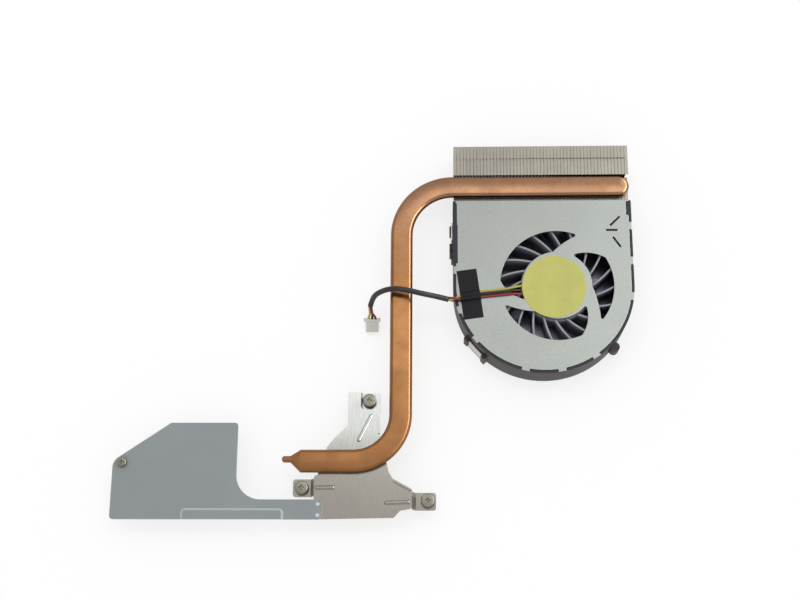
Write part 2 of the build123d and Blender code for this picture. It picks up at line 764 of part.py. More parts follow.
def screw(head_radius, head_low, tip, groove_high):
    """A captive pan-head screw about Z, with a groove for its retainer."""
    plan = Circle(screw_radius)
    body = slab(plan, tip, head_low)
    body = chamfer(body.edges().group_by(Axis.Z)[0], screw_tip)
    groove_low = groove_high - retainer_sheet - sheet_gap
    body -= ring(screw_radius, screw_radius - screw_groove, groove_low, groove_high)
    head = slab(Circle(head_radius), head_low, head_low + screw_head_height)
    head = chamfer(head.edges().group_by(Axis.Z)[-1], screw_head_height / 3)
    recess = Rectangle(recess_length, recess_width) + Rectangle(recess_width, recess_length)
    top = head_low + screw_head_height
    return body + head - slab(recess, top - recess_depth, top)


def retainer(groove_high):
    """An open clip that snaps into a screw's groove under its pad."""
    inner = screw_radius - screw_groove + press_gap
    plan = Circle(retainer_radius) - Circle(inner)
    plan -= Pos(retainer_radius / 2) * Rectangle(retainer_radius, retainer_mouth)
    return slab(plan, groove_high - retainer_sheet, groove_high)


def bracket_screws():
    one = screw(screw_head_radius, pad_top + screw_rise, 0, pad_top - bracket_sheet)
    return Pos(cpu_x, cpu_y) * Compound([place * one for place in hole_places()])


def bracket_retainers():
    one = retainer(pad_top - bracket_sheet)
    return Pos(cpu_x, cpu_y) * Compound([place * one for place in hole_places()])


def plate_screw():
    low = plate_high + plate_screw_rise
    one = screw(plate_head_radius, low, low - plate_screw_length, bracket_top)
    return Pos(plate_screw_x, plate_screw_y) * one


def plate_retainer():
    return Pos(plate_screw_x, plate_screw_y) * retainer(bracket_top)


pieces = {
    "fan_housing": fan_housing(),
    "fan_cover": fan_cover(),
    "base_plate": base_plate(),
    "impeller": impeller(),
    "rotor_yoke": rotor_yoke(),
    "ring_magnet": ring_magnet(),
    "rotor_shaft": rotor_shaft(),
    "sleeve_bearing": sleeve_bearing(),
    "bearing_tube": bearing_tube(),
    "thrust_pad": thrust_pad(),
    "stator_core": stator_core(),
    "stator_coils": stator_coils(),
    "motor_board": motor_board(),
    "hub_label": hub_label(),
    "cable_tape": cable_tape(),
    "fin_stack": fin_stack(),
    "heat_pipe": heat_pipe(),
    "cpu_bracket": cpu_bracket(),
    "cpu_contact_plate": cpu_contact_plate(),
    "extension_plate": extension_plate(),
    "bracket_screws": bracket_screws(),
    "bracket_retainers": bracket_retainers(),
    "plate_screw": plate_screw(),
    "plate_retainer": plate_retainer(),
}
for name, way in lead_ways.items():
    pieces[name] = lead(way, hub_exits[name], sleeve_places[name])
cord_pieces = {
    "fan_cable": fan_cable(),
    "connector_housing": connector_housing(),
    "connector_contacts": connector_contacts(),
}

# The origin is the middle of the assembly's underside, without the cable
boxes = [piece.bounding_box() for piece in pieces.values()]
centre_x = (min(box.min.X for box in boxes) + max(box.max.X for box in boxes)) / 2
centre_y = (min(box.min.Y for box in boxes) + max(box.max.Y for box in boxes)) / 2

os.makedirs("parts", exist_ok=True)
for name, piece in {**pieces, **cord_pieces}.items():
    export_step(Pos(-centre_x, -centre_y) * piece, f"parts/{name}.step")
print("impeller axis", round(-centre_x, 3), round(-centre_y, 3))
print("cable radii", [round(radius, 1) for radius in bend_radii(cable_route)])
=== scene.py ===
import json
from math import cos, pi, radians, sin

import bmesh
import bpy
from bpy.props import FloatProperty, FloatVectorProperty, IntProperty, PointerProperty
from mathutils import Matrix, Vector

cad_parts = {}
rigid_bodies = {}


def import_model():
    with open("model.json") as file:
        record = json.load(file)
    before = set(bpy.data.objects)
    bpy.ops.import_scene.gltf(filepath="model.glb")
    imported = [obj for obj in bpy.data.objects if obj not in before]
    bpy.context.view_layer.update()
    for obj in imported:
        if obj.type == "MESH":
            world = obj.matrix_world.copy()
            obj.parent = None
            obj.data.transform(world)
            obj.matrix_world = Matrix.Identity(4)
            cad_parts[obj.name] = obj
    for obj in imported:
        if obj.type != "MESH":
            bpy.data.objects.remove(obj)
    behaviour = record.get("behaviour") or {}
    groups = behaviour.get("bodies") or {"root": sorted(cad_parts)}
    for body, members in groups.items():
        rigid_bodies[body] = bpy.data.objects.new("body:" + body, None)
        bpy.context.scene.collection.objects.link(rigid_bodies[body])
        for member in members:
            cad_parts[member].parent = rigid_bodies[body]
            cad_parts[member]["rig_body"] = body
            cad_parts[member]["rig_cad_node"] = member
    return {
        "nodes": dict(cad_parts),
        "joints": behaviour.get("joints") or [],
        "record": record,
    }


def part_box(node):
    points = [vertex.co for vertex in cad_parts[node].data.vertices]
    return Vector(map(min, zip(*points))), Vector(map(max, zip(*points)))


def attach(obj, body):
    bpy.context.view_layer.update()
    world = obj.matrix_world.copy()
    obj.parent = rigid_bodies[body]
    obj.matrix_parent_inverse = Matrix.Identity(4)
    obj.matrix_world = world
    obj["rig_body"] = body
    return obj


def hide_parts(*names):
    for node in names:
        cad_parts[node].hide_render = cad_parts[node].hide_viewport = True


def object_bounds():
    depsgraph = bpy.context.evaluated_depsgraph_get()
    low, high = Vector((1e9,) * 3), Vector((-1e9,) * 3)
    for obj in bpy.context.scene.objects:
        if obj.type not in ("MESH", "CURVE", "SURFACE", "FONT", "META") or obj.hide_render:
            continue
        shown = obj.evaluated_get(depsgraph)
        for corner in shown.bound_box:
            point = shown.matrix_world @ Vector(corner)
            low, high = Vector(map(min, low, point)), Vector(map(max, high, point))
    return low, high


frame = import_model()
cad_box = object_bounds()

bl_info = {
    "name": "Laptop Cooler",
    "version": (1, 0, 0),
    "blender": (4, 5, 0),
    "location": "View3D > Sidebar > Cooler",
    "description": "Finishes a laptop blower, its fins, heat pipe, bracket and cable round their solid model",
    "category": "Object",
}

MM = 0.001
UP = Vector((0, 0, 1))
BLACK = (0, 0, 0)
WHITE = (1, 1, 1)

# Points this close are one point, and places this close are level with each other
WELD = 0.002 * MM
NEAR = 0.01 * MM

# Share of a face's normal along an axis, where the face looks that way and where it is square to it
FACING = 0.5
SQUARE = 0.99

# Where most of a noise's values lie, and most of the drawn lines'
NOISE_SPAN = (0.3, 0.7)
LINE_SPAN = (0.35, 0.65)

# Places that the solid model gives
fan_axis = Vector((*frame["joints"][0]["pos_m"][:2], 0))
floor_level = cad_box[0].z
cover_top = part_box("fan_cover")[1].z

# The cable's route and the leads' ways, from the impeller axis, in metres
CABLE_ROUTE = [
    (-0.0375, -0.0055, 0.0145), (-0.0420, -0.0046, 0.0154), (-0.0466, -0.0040, 0.0167),
    (-0.0512, -0.0029, 0.0170), (-0.0563, -0.0021, 0.01695), (-0.0608, -0.0023, 0.0139),
    (-0.0639, -0.0031, 0.0093), (-0.0648, -0.00525, 0.00565), (-0.0643, -0.0093, 0.0033),
]
LEAD_WAYS = {
    "yellow": [
        (-0.0080, 0.0002, 0.0113), (-0.0110, 0.0002, 0.0119), (-0.0144, -0.00075, 0.01345),
        (-0.0173, -0.00155, 0.01345), (-0.0265, -0.0024, 0.01345), (-0.0304, -0.0033, 0.0138),
        (-0.0338, -0.0044, 0.0143), (-0.0356, -0.00525, 0.01395), (-0.0374, -0.0059, 0.0146),
        (-0.0400, -0.0053, 0.0151),
    ],
    "black": [
        (-0.0080, -0.0016, 0.0113), (-0.0110, -0.0016, 0.0119), (-0.0143, -0.00195, 0.01345),
        (-0.0182, -0.0026, 0.01345), (-0.0264, -0.0034, 0.01345), (-0.0304, -0.0042, 0.01345),
        (-0.0337, -0.00495, 0.01345), (-0.0356, -0.00575, 0.0134), (-0.0374, -0.00555, 0.0140),
        (-0.0400, -0.0050, 0.0146),
    ],
    "red": [
        (-0.0080, -0.0031, 0.0113), (-0.0110, -0.0031, 0.0119), (-0.0143, -0.00315, 0.01345),
        (-0.0184, -0.0036, 0.01345), (-0.0263, -0.0044, 0.01345), (-0.0304, -0.00495, 0.0138),
        (-0.0337, -0.0055, 0.0143), (-0.0356, -0.00505, 0.01475), (-0.0374, -0.0051, 0.01485),
        (-0.0400, -0.0047, 0.0154),
    ],
}

# The leads in the order of the connector's poles, and their places in the sleeve, in diameters across and up
POLES = ("yellow", "black", "red")
BUNDLE = {"yellow": (0.42, -0.25), "black": (-0.42, -0.25), "red": (0, 0.45)}


def shown(red, green, blue):
    """A colour given in display values of 0 to 255, as the linear values that a shader takes."""
    parts = [value / 255 for value in (red, green, blue)]
    return tuple(part / 12.92 if part < 0.04045 else ((part + 0.055) / 1.055) ** 2.4 for part in parts)


def length(name, description, millimetres):
    return FloatProperty(
        name=name, description=description, default=millimetres * MM, min=0, unit="LENGTH", precision=5)


def colour(name, description, *display):
    return FloatVectorProperty(
        name=name, description=description, default=shown(*display), min=0, max=1, size=3, subtype="COLOR")


def tilt(name, description, degrees):
    return FloatProperty(name=name, description=description, default=radians(degrees), subtype="ANGLE")


def amount(name, description, value, subtype="NONE"):
    return FloatProperty(name=name, description=description, default=value, min=0, subtype=subtype)


def metres(name, description, *values):
    return FloatVectorProperty(name=name, description=description, default=values, size=len(values),
                               subtype="TRANSLATION", unit="LENGTH")


class CoolerColours(bpy.types.PropertyGroup):
    """Colours of the cooler's finishes"""
    housing: colour("Housing", "Rim of the moulded fan housing", 42, 41, 51)
    # Painted reflection: the wall colour is lighter and warmer than the rim, standing in for the floor's
    # reflection on the housing's side wall
    wall: colour("Wall", "Side wall of the moulded fan housing", 58, 49, 43)
    blade: colour("Blades", "Impeller and its blades", 52, 54, 66)
    # Paler blade tops: partly dust, partly a painted sheen standing in for the blades' bright reflections
    blade_dust_and_sheen: colour("Blade tops", "Dusty, paler upper part of the blades", 170, 172, 180)
    cover: colour("Cover", "Stamped cover plate", 151, 155, 151)
    base: colour("Base", "Stamped base plate's clips", 208, 201, 196)
    dusty: colour("Base inside", "Dusty inside of the base plate", 136, 134, 148)
    fin: colour("Fins", "Folded fins", 157, 152, 142)
    copper: colour("Copper", "Pinkish copper of the pipe beside the fins", 165, 124, 95)
    tarnish: colour("Tarnish", "Warm copper of the rest of the pipe", 155, 109, 70)
    # Painted shade: the pipe's sides are browner than its top
    shade: colour("Sides", "Browner copper down the pipe's sides", 118, 76, 46)
    bracket: colour("Bracket", "Nickel plate of the processor bracket's arm", 184, 186, 183)
    # Painted shade: the bracket's lower part is darker than its arm
    bracket_lower_shade: colour("Brushed", "Brushed plate at the bracket's lower part", 158, 154, 146)
    paint: colour("Paint", "Extension plate", 150, 156, 158)
    # Painted highlight: the pressed strip's sides are paler than the paint
    rubbing_and_highlight: colour("Rubbed paint", "Thin paint on the plate's pressed strip", 190, 197, 199)
    # Bare metal at the plate's cut edges, and a painted highlight in the clinch marks
    bare_metal_and_highlight: colour("Bare edge", "Plate's cut edges and clinch marks", 222, 226, 228)
    screw: colour("Screws", "Plated captive screws", 146, 141, 130)
    label: colour("Label", "Film on the hub disc", 204, 203, 100)
    tape: colour("Tape", "Cloth tape over the leads", 22, 20, 26)
    yellow: colour("Yellow lead", "Insulation of the first lead", 206, 196, 84)
    red: colour("Red lead", "Insulation of the second lead", 152, 34, 42)
    black: colour("Black lead", "Insulation of the third lead", 32, 30, 33)
    sleeve: colour("Sleeve", "Tubing round the leads", 44, 40, 44)
    connector: colour("Connector", "Moulded connector", 247, 245, 236)
    contact: colour("Contacts", "Tin plate of the connector's contacts", 200, 198, 190)
    steel: colour("Motor steel", "Yoke, shaft and stator core", 170, 170, 168)
    bronze: colour("Bronze", "Sleeve bearing and its tube", 168, 132, 84)
    magnet: colour("Magnet", "Ring magnet", 62, 60, 62)
    thrust: colour("Thrust pad", "Pad under the shaft", 226, 222, 205)
    board: colour("Board", "Motor's circuit board", 28, 92, 52)
    winding: colour("Windings", "Enamelled wire on the stator", 178, 92, 48)
    winding_gap: colour("Winding gaps", "Shade between the turns of wire", 90, 40, 18)
    floor: colour("Floor", "Studio floor", 246, 246, 246)


class FanSizes(bpy.types.PropertyGroup):
    """Edges, fades and films of the blower"""
    housing_edge: length("Housing edge", "Rounding of the moulding's edges", 0.16)
    # Where the painted floor reflection on the housing wall begins and where it is full
    rim_band: length("Rim band", "Height of the housing rim's own colour", 0.3)
    rim_fade: length("Rim fade", "Depth at which the wall's colour is reached", 2.0)
    sheet_edge: length("Sheet edge", "Rounding of stamped edges", 0.09)
    dust_low: length("Dust", "Height of the base plate's dusty inside", 1.0)
    dust_high: length("Dust end", "Height at which the base plate is clean", 3.0)
    blade_edge: length("Blade edge", "Rounding of the blades' edges", 0.16)
    # Depth of the blades' paler tops, partly dust and partly painted sheen
    blade_fade: length("Blade fade", "Depth to which the blades are paler", 6.5)
    label_edge: length("Label edge", "Rounding of the label's rim", 0.05)
    tape_length: length("Tape length", "Length of the tape across the leads", 17.8)
    tape_width: length("Tape width", "Width of the tape along the leads", 7.1)
    tape_sheet: length("Tape sheet", "Thickness of the tape", 0.15)
    tape_turn: tilt("Tape turn", "Turn of the tape on the cover", 7.8)


class SinkSizes(bpy.types.PropertyGroup):
    """Fins, heat pipe and the plates on it"""
    fin_count: IntProperty(name="Fins", description="Number of folded fins", default=52, min=1)
    fin_pitch: length("Fin pitch", "Distance from fin to fin", 1.185)
    fin_sheet: length("Fin sheet", "Thickness of a fin", 0.2)
    fin_gap: length("Fin gap", "Gap from a flange to the next fin", 0.04)
    groove_width: length("Groove width", "Width of the zipper groove", 0.8)
    groove_back: length("Groove place", "Zipper groove from the stack's back", 5.4)
    groove_depth: length("Groove depth", "Depth of the zipper groove's hooks", 0.35)
    pipe_room: length("Pipe room", "Gap from the pipe to the fins' step", 0.12)
    pipe_width: length("Pipe width", "Width of the flattened pipe", 7.7)
    pipe_cross: length("Pipe crossing", "Impeller axis to the pipe's cross run", 53.75)
    sink_bend: length("Sink bend", "Bend beside the fins", 18.0)
    cpu_bend: length("Processor bend", "Bend beside the bracket", 16.0)
    nib_length: length("Nib length", "Length of the pinched filling tip", 2.9)
    nib_shift: length("Nib shift", "Filling tip off the pipe's middle", 0.6)
    nib_width: length("Nib width", "Width of the pinched filling tip", 2.2)
    nib_height: length("Nib height", "Thickness of the pinched filling tip", 1.6)
    taper: length("Taper", "Length of the pipe's tapered end", 3.4)
    rib_height: length("Rib height", "Height of the bracket's pressed ribs", 0.5)
    rib_edge: length("Rib edge", "Rounding of the pressed ribs", 0.32)
    pad_drop: length("Pad drop", "Bracket's screw pads below its sheet", 2.5)
    plate_edge: length("Plate edge", "Rounding of bracket and plate edges", 0.12)
    plate_sheet: length("Plate sheet", "Thickness of the extension plate", 0.7)


class ScrewSizes(bpy.types.PropertyGroup):
    """Captive screws"""
    head: length("Head", "Radius of a bracket screw's head", 2.3)
    plate_head: length("Plate head", "Radius of the plate screw's head", 1.65)
    head_height: length("Head height", "Height of the head", 1.2)
    shank: length("Shank", "Radius over the thread", 1.0)
    thread_pitch: length("Thread pitch", "Distance from thread to thread", 0.4)
    thread_depth: length("Thread depth", "Depth of the thread", 0.2)
    recess: length("Recess", "Reach of the cross recess", 1.1)
    recess_width: length("Recess width", "Width of the cross recess", 0.6)
    recess_depth: length("Recess depth", "Depth of the cross recess", 0.7)


class CableSizes(bpy.types.PropertyGroup):
    """Leads, sleeve and connector"""
    lead: length("Lead", "Diameter of a lead", 0.8)
    sleeve: length("Sleeve", "Diameter of the sleeve", 1.9)
    sleeve_wall: length("Sleeve wall", "Wall of the sleeve", 0.09)
    cable_length: length("Cable length", "Sleeve from the fan to its far end", 34.2)
    width: length("Connector width", "Connector's body across its poles", 4.4)
    depth: length("Connector depth", "Connector's thickness", 2.4)
    reach: length("Connector length", "Connector from entry to nose", 4.5)
    lip: length("Connector lip", "Height of the lip at the entry", 0.7)
    overhang: length("Lip overhang", "Lip beyond the body on each side", 0.7)
    pitch: length("Pole pitch", "Distance from pole to pole", 1.25)
    plug_edge: length("Connector edge", "Rounding of the connector's edges", 0.06)
    plug_wall: length("Connector wall", "Rim round the connector's sockets and windows", 0.18)
    socket: length("Socket", "Depth of the sockets in the nose", 1.0)
    window: length("Window", "Depth of the latch window", 0.25)


class StageSettings(bpy.types.PropertyGroup):
    """Camera and light"""
    lens: amount("Lens", "Focal length", 57.6, "DISTANCE_CAMERA")
    sensor: amount("Sensor", "Width of the sensor", 36.0, "DISTANCE_CAMERA")
    pitch: tilt("Tilt", "Camera tilt off the vertical", 16.2)
    yaw: tilt("Lean", "Camera lean to the right", 2.1)
    roll: tilt("Roll", "Camera roll", 0.36)
    place: metres("Camera", "Camera place from the origin", 0.02352, -0.114155, 0.43678)
    sky: amount("Sky", "Strength of the even light from all sides", 0.72)
    key: amount("Key", "Radiance of the soft box overhead", 1.55)
    key_place: metres("Key place", "Place of the soft box overhead", 0.03, 0.24, 0.95)
    key_size: metres("Key size", "Width and depth of the soft box overhead", 1.0, 0.26)
    strip: amount("Strip", "Radiance of the strip light at the right", 9.0)
    strip_place: metres("Strip place", "Place of the strip light at the right", 0.7, 0.2, 0.75)
    strip_size: metres("Strip size", "Length and width of the strip light", 1.2, 0.3)
    floor: length("Floor size", "Width of the floor", 6000.0)
    glow: amount("Glow", "Light that the floor adds to its own shade", 0.72)
    shade: amount("Shade", "Share of the floor's colour that takes shadows", 0.37)


# Modelling steps


def idle():
    """Leaves edit mode and deselects everything."""
    if bpy.context.mode != "OBJECT":
        bpy.ops.object.mode_set(mode="OBJECT")
    bpy.ops.object.select_all(action="DESELECT")


def done():
    """What a finished operator answers, with nothing left selected."""
    idle()
    return {"FINISHED"}


def hold(piece):
    """Makes one piece the only selected and active one."""
    idle()
    piece.select_set(True)
    bpy.context.view_layer.objects.active = piece
    return piece


def edit(piece):
    """Opens a piece in edit mode with all of it selected."""
    hold(piece)
    bpy.ops.object.mode_set(mode="EDIT")
    bpy.ops.mesh.select_mode(type="VERT")
    bpy.ops.mesh.select_all(action="SELECT")
    return piece


def started(primitive, scale=(1, 1, 1), **place):
    """Adds a primitive at its size and place, with the place put into its mesh, and opens it in edit mode."""
    idle()
    primitive(**place)
    bpy.context.active_object.scale = scale
    bpy.ops.object.transform_apply(location=True, rotation=True, scale=True)
    return edit(bpy.context.active_object)


def pick(kind, test):
    """Selects those vertices, edges or faces of the open mesh whose place and direction pass a test."""
    bpy.ops.mesh.select_mode(type=kind)
    bpy.ops.mesh.select_all(action="DESELECT")
    piece = bpy.context.active_object
    mesh = bmesh.from_edit_mesh(piece.data)
    if kind == "VERT":
        found = [vertex for vertex in mesh.verts if test(vertex.co)]
    elif kind == "EDGE":
        found = [edge for edge in mesh.edges if all(test(vertex.co) for vertex in edge.verts)]
    else:
        found = [face for face in mesh.faces if test(face.calc_center_median(), face.normal)]
    for part in found:
        part.select_set(True)
    mesh.select_flush_mode()
    bmesh.update_edit_mesh(piece.data)
    if not found:
        raise RuntimeError(f"nothing to shape on {piece.name}")


def push(x=0, y=0, z=0):
    """Extrudes what is selected."""
    bpy.ops.mesh.extrude_region_move(TRANSFORM_OT_translate={"value": (x, y, z)})


def traced(points):
    """A wire through the points: a plane merged to one vertex, extruded from point to point."""
    piece = started(bpy.ops.mesh.primitive_plane_add, size=MM)
    bpy.ops.mesh.merge(type="CENTER")
    bpy.ops.transform.translate(value=points[0])
    for start, end in zip(points, points[1:]):
        step = Vector(end) - Vector(start)
        bpy.ops.mesh.extrude_vertices_move(TRANSFORM_OT_translate={"value": step})
    bpy.ops.mesh.select_all(action="SELECT")
    return piece


def closed_up():
    """Merges the open mesh's doubles and turns its faces outwards."""
    bpy.ops.mesh.select_all(action="SELECT")
    bpy.ops.mesh.remove_doubles(threshold=WELD)
    bpy.ops.mesh.normals_make_consistent(inside=False)
    idle()


def turned(points, centre, steps):
    """A turned piece: a profile of (radius, height) pairs spun about a vertical axis."""
    piece = traced([centre + Vector((radius, 0, height)) for radius, height in points])
    bpy.ops.mesh.spin(steps=steps, angle=2 * pi, center=centre, axis=UP)
    closed_up()
    return piece


def modified(piece, kind, **settings):
    """Adds a modifier with its settings and applies it."""
    hold(piece)
    bpy.ops.object.modifier_add(type=kind)
    modifier = piece.modifiers[-1]
    for name, value in settings.items():
        setattr(modifier, name, value)
    bpy.ops.object.modifier_apply(modifier=modifier.name)
    return piece


def combined(piece, tool, operation):
    """Joins a tool to a piece or cuts it out of it, and removes the tool."""
    modified(piece, "BOOLEAN", object=tool, operation=operation, solver="EXACT")
    bpy.data.objects.remove(tool)
    return piece


def rounded(piece, width, segments=2, angle=30, clear=False):
    """Rounds a piece's sharp edges, clear of its narrow corners if need be."""
    return modified(piece, "BEVEL", width=width, segments=segments, limit_method="ANGLE",
                    angle_limit=radians(angle), use_clamp_overlap=clear, miter_outer="MITER_ARC")


def smoothed(piece, angle=35):
    """Shades a piece smooth except across sharp edges."""
    hold(piece)
    bpy.ops.object.shade_smooth_by_angle(angle=radians(angle))
    return piece


def softened(piece, edge, clear=False):
    """Rounds a piece's edges and shades its large faces flat right up to them."""
    smoothed(rounded(piece, edge, clear=clear))
    return modified(piece, "WEIGHTED_NORMAL", mode="FACE_AREA", weight=100, keep_sharp=True)


def plain_copy(solid):
    """A copy of a solid's mesh, merged and with its flat faces whole."""
    hold(frame["nodes"][solid])
    bpy.ops.object.duplicate()
    copy = bpy.context.active_object
    copy.parent = None
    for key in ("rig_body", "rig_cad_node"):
        del copy[key]
    bpy.ops.mesh.customdata_custom_splitnormals_clear()
    edit(copy)
    bpy.ops.mesh.remove_doubles(threshold=WELD)
    bpy.ops.mesh.dissolve_limited(angle_limit=radians(0.3))
    idle()
    return copy


def joined(pieces):
    """Joins pieces into the first of them."""
    idle()
    for piece in pieces:
        piece.select_set(True)
    bpy.context.view_layer.objects.active = pieces[0]
    bpy.ops.object.join()
    return bpy.context.active_object


def copied(piece, shift):
    """A copy of a piece, moved, with its own mesh."""
    hold(piece)
    bpy.ops.object.duplicate()
    copy = bpy.context.active_object
    bpy.ops.transform.translate(value=shift)
    bpy.ops.object.transform_apply(location=True, rotation=False, scale=False)
    return copy


def settled(piece, name, slot, material, *nodes, body="root"):
    """Names a finished piece, gives it its material, ties it to its body and hides the solids it stands for.
    """
    idle()
    piece.name = name
    piece.data.name = name
    piece.data.materials.clear()
    piece.data.materials.append(material)
    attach(piece, body)
    if nodes:
        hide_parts(*nodes)
    return piece


def dressed(solid, name, slot, material, edge, body="root"):
    """A solid's copy with soft edges, settled in its place."""
    return settled(softened(plain_copy(solid), edge), name, slot, material, solid, body=body)


def refinished(solid, material):
    """Gives a solid that shows as it is its finish."""
    frame["nodes"][solid].material_slots[0].material = material
    return frame["nodes"][solid]


# Shader nodes

# A mix node's sockets for colours, by number
MIX_MASK, MIX_FIRST, MIX_SECOND, MIX_RESULT = 0, 6, 7, 2


def is_socket(value):
    return isinstance(value, bpy.types.NodeSocket)


def feed(tree, socket, value):
    """Links a socket to another one, or sets it to a plain value."""
    if is_socket(value):
        tree.links.new(value, socket)
    else:
        socket.default_value = value


def node(tree, kind, inputs=None, **settings):
    """Adds a shader node with its settings and what its sockets take."""
    made = tree.nodes.new(kind)
    for name, value in settings.items():
        setattr(made, name, value)
    for name, value in (inputs or {}).items():
        feed(tree, made.inputs[name], value)
    return made


def mixed(tree, mask, first, second):
    """A colour between two colours; either may be a socket."""
    first, second = (value if is_socket(value) else (*value, 1) for value in (first, second))
    blend = node(tree, "ShaderNodeMix", {MIX_MASK: mask, MIX_FIRST: first, MIX_SECOND: second},
                 data_type="RGBA")
    return blend.outputs[MIX_RESULT]


def darkened(tree, share, base):
    """A colour darkened by a share."""
    return mixed(tree, share, base, BLACK)


def ranged(tree, value, low, high, start=0.0, end=1.0):
    """A value from one range taken to another."""
    return node(tree, "ShaderNodeMapRange", {"Value": value, "From Min": start, "From Max": end,
                                             "To Min": low, "To Max": high}).outputs["Result"]


def computed(tree, operation, first, second):
    """What a math node makes of two values."""
    return node(tree, "ShaderNodeMath", {0: first, 1: second}, operation=operation).outputs[0]


def relief(tree, height, depth):
    """A surface normal from a height; depth is in millimetres."""
    bump = node(tree, "ShaderNodeBump", {"Strength": 1.0, "Distance": depth * MM, "Height": height})
    return bump.outputs["Normal"]


def object_place(tree):
    return tree.nodes.new("ShaderNodeTexCoord").outputs["Object"]


def along(tree, axis, low, high):
    """A mask that goes from 0 to 1 between two places on an axis."""
    parts = node(tree, "ShaderNodeSeparateXYZ", {0: object_place(tree)})
    return ranged(tree, parts.outputs[axis], 0, 1, low, high)


def between(tree, low, high, slack):
    """A mask of what lies between two heights, with soft ends."""
    start, end = along(tree, "Z", low, low + slack), along(tree, "Z", high, high - slack)
    return computed(tree, "MULTIPLY", start, end)


def faded(tree, tone, fade):
    """A tone, or where a fade is given, a colour that goes to the tone from another along an axis."""
    if not fade:
        return tone
    axis, low, high, other = fade
    return mixed(tree, along(tree, axis, low, high), other, tone)


# Shared effects with their inputs and their noise: fine even grain, as on mouldings and etched sheet; fine
# lines left by rolling or drawing, along the axis with the smallest stretch; soft patches and smudges
EFFECTS = {
    "Surface Grain": ({"Scale": 3000.0}, {"Detail": 4.0, "Roughness": 0.6}),
    "Drawn Lines": ({"Stretch": (60.0, 2500.0, 2500.0)}, {"Scale": 1.0, "Detail": 5.0, "Roughness": 0.65}),
    "Blotches": ({"Scale": 80.0, "Low": 0.45, "High": 0.65},
                 {"Detail": 6.0, "Roughness": 0.55, "Distortion": 0.6}),
}


def effect_group(name):
    """A node group of a shared effect: noise at a scale or stretched by axis, spread between low and high."""
    inputs, noise = EFFECTS[name]
    group = bpy.data.node_groups.new(name, "ShaderNodeTree")
    for label, value in inputs.items():
        kind = "NodeSocketVector" if label == "Stretch" else "NodeSocketFloat"
        group.interface.new_socket(label, in_out="INPUT", socket_type=kind).default_value = value
    group.interface.new_socket("Value", in_out="OUTPUT", socket_type="NodeSocketFloat")
    given = group.nodes.new("NodeGroupInput").outputs
    noise = {"Vector": object_place(group), **noise}
    if "Scale" in inputs:
        noise["Scale"] = given["Scale"]
    if "Stretch" in inputs:
        stretched = {0: noise["Vector"], 1: given["Stretch"]}
        noise["Vector"] = node(group, "ShaderNodeVectorMath", stretched, operation="MULTIPLY").outputs[0]
    value = node(group, "ShaderNodeTexNoise", noise).outputs["Fac"]
    if "Low" in inputs:
        spread = {"Value": value, "From Min": given["Low"], "From Max": given["High"]}
        value = node(group, "ShaderNodeMapRange", spread, interpolation_type="SMOOTHSTEP").outputs["Result"]
    node(group, "NodeGroupOutput", {"Value": value})
    return group


def effect(tree, name, **inputs):
    """Places a shared effect in a material and gives its value."""
    group = bpy.data.node_groups.get(name) or effect_group(name)
    made = tree.nodes.new("ShaderNodeGroup")
    made.node_tree = group
    for label, value in inputs.items():
        made.inputs[label].default_value = value
    return made.outputs["Value"]


def new_material(name):
    """A material with nodes, and its node tree."""
    material = bpy.data.materials.new(name)
    material.use_nodes = True
    return material, material.node_tree


def surfaced(material, **sockets):
    """Sets or links the sockets of a material's surface shader."""
    tree = material.node_tree
    for label, value in sockets.items():
        feed(tree, tree.nodes["Principled BSDF"].inputs[label.replace("_", " ")], value)
    return material


def scaled(tone, share):
    """A tone made darker, or paler where the share is over 1."""
    return tuple(part * share for part in tone)


# Finishes


def sheet_metal(name, tone, stretch, rough, patch_scale=90.0, contrast=1.0, fade=None, dull=None):
    """Rolled sheet with drawn lines and uneven brightness.

    Stretch gives how fine the lines are along each axis, and contrast how strong. Fade takes the sheet from
    another tone along an axis; dull gives heights between which its bends are dull.
    """
    patch_dark, line_dark, smoother, rougher = 0.1 * contrast, 0.16 * contrast, rough - 0.06, rough + 0.08
    bend_slack, bend_metallic, line_depth = 0.1 * MM, 0.2, 0.004
    material, tree = new_material(name)
    lines = effect(tree, "Drawn Lines", Stretch=stretch)
    patches = effect(tree, "Blotches", Scale=patch_scale, Low=0.35, High=0.7)
    base = darkened(tree, ranged(tree, patches, patch_dark, 0), faded(tree, tone, fade))
    base = darkened(tree, ranged(tree, lines, 0, line_dark, *LINE_SPAN), base)
    metallic = ranged(tree, between(tree, *dull, bend_slack), 1, bend_metallic) if dull else 1.0
    return surfaced(material, Metallic=metallic, Base_Color=base,
                    Roughness=ranged(tree, lines, smoother, rougher, *NOISE_SPAN),
                    Normal=relief(tree, lines, line_depth))


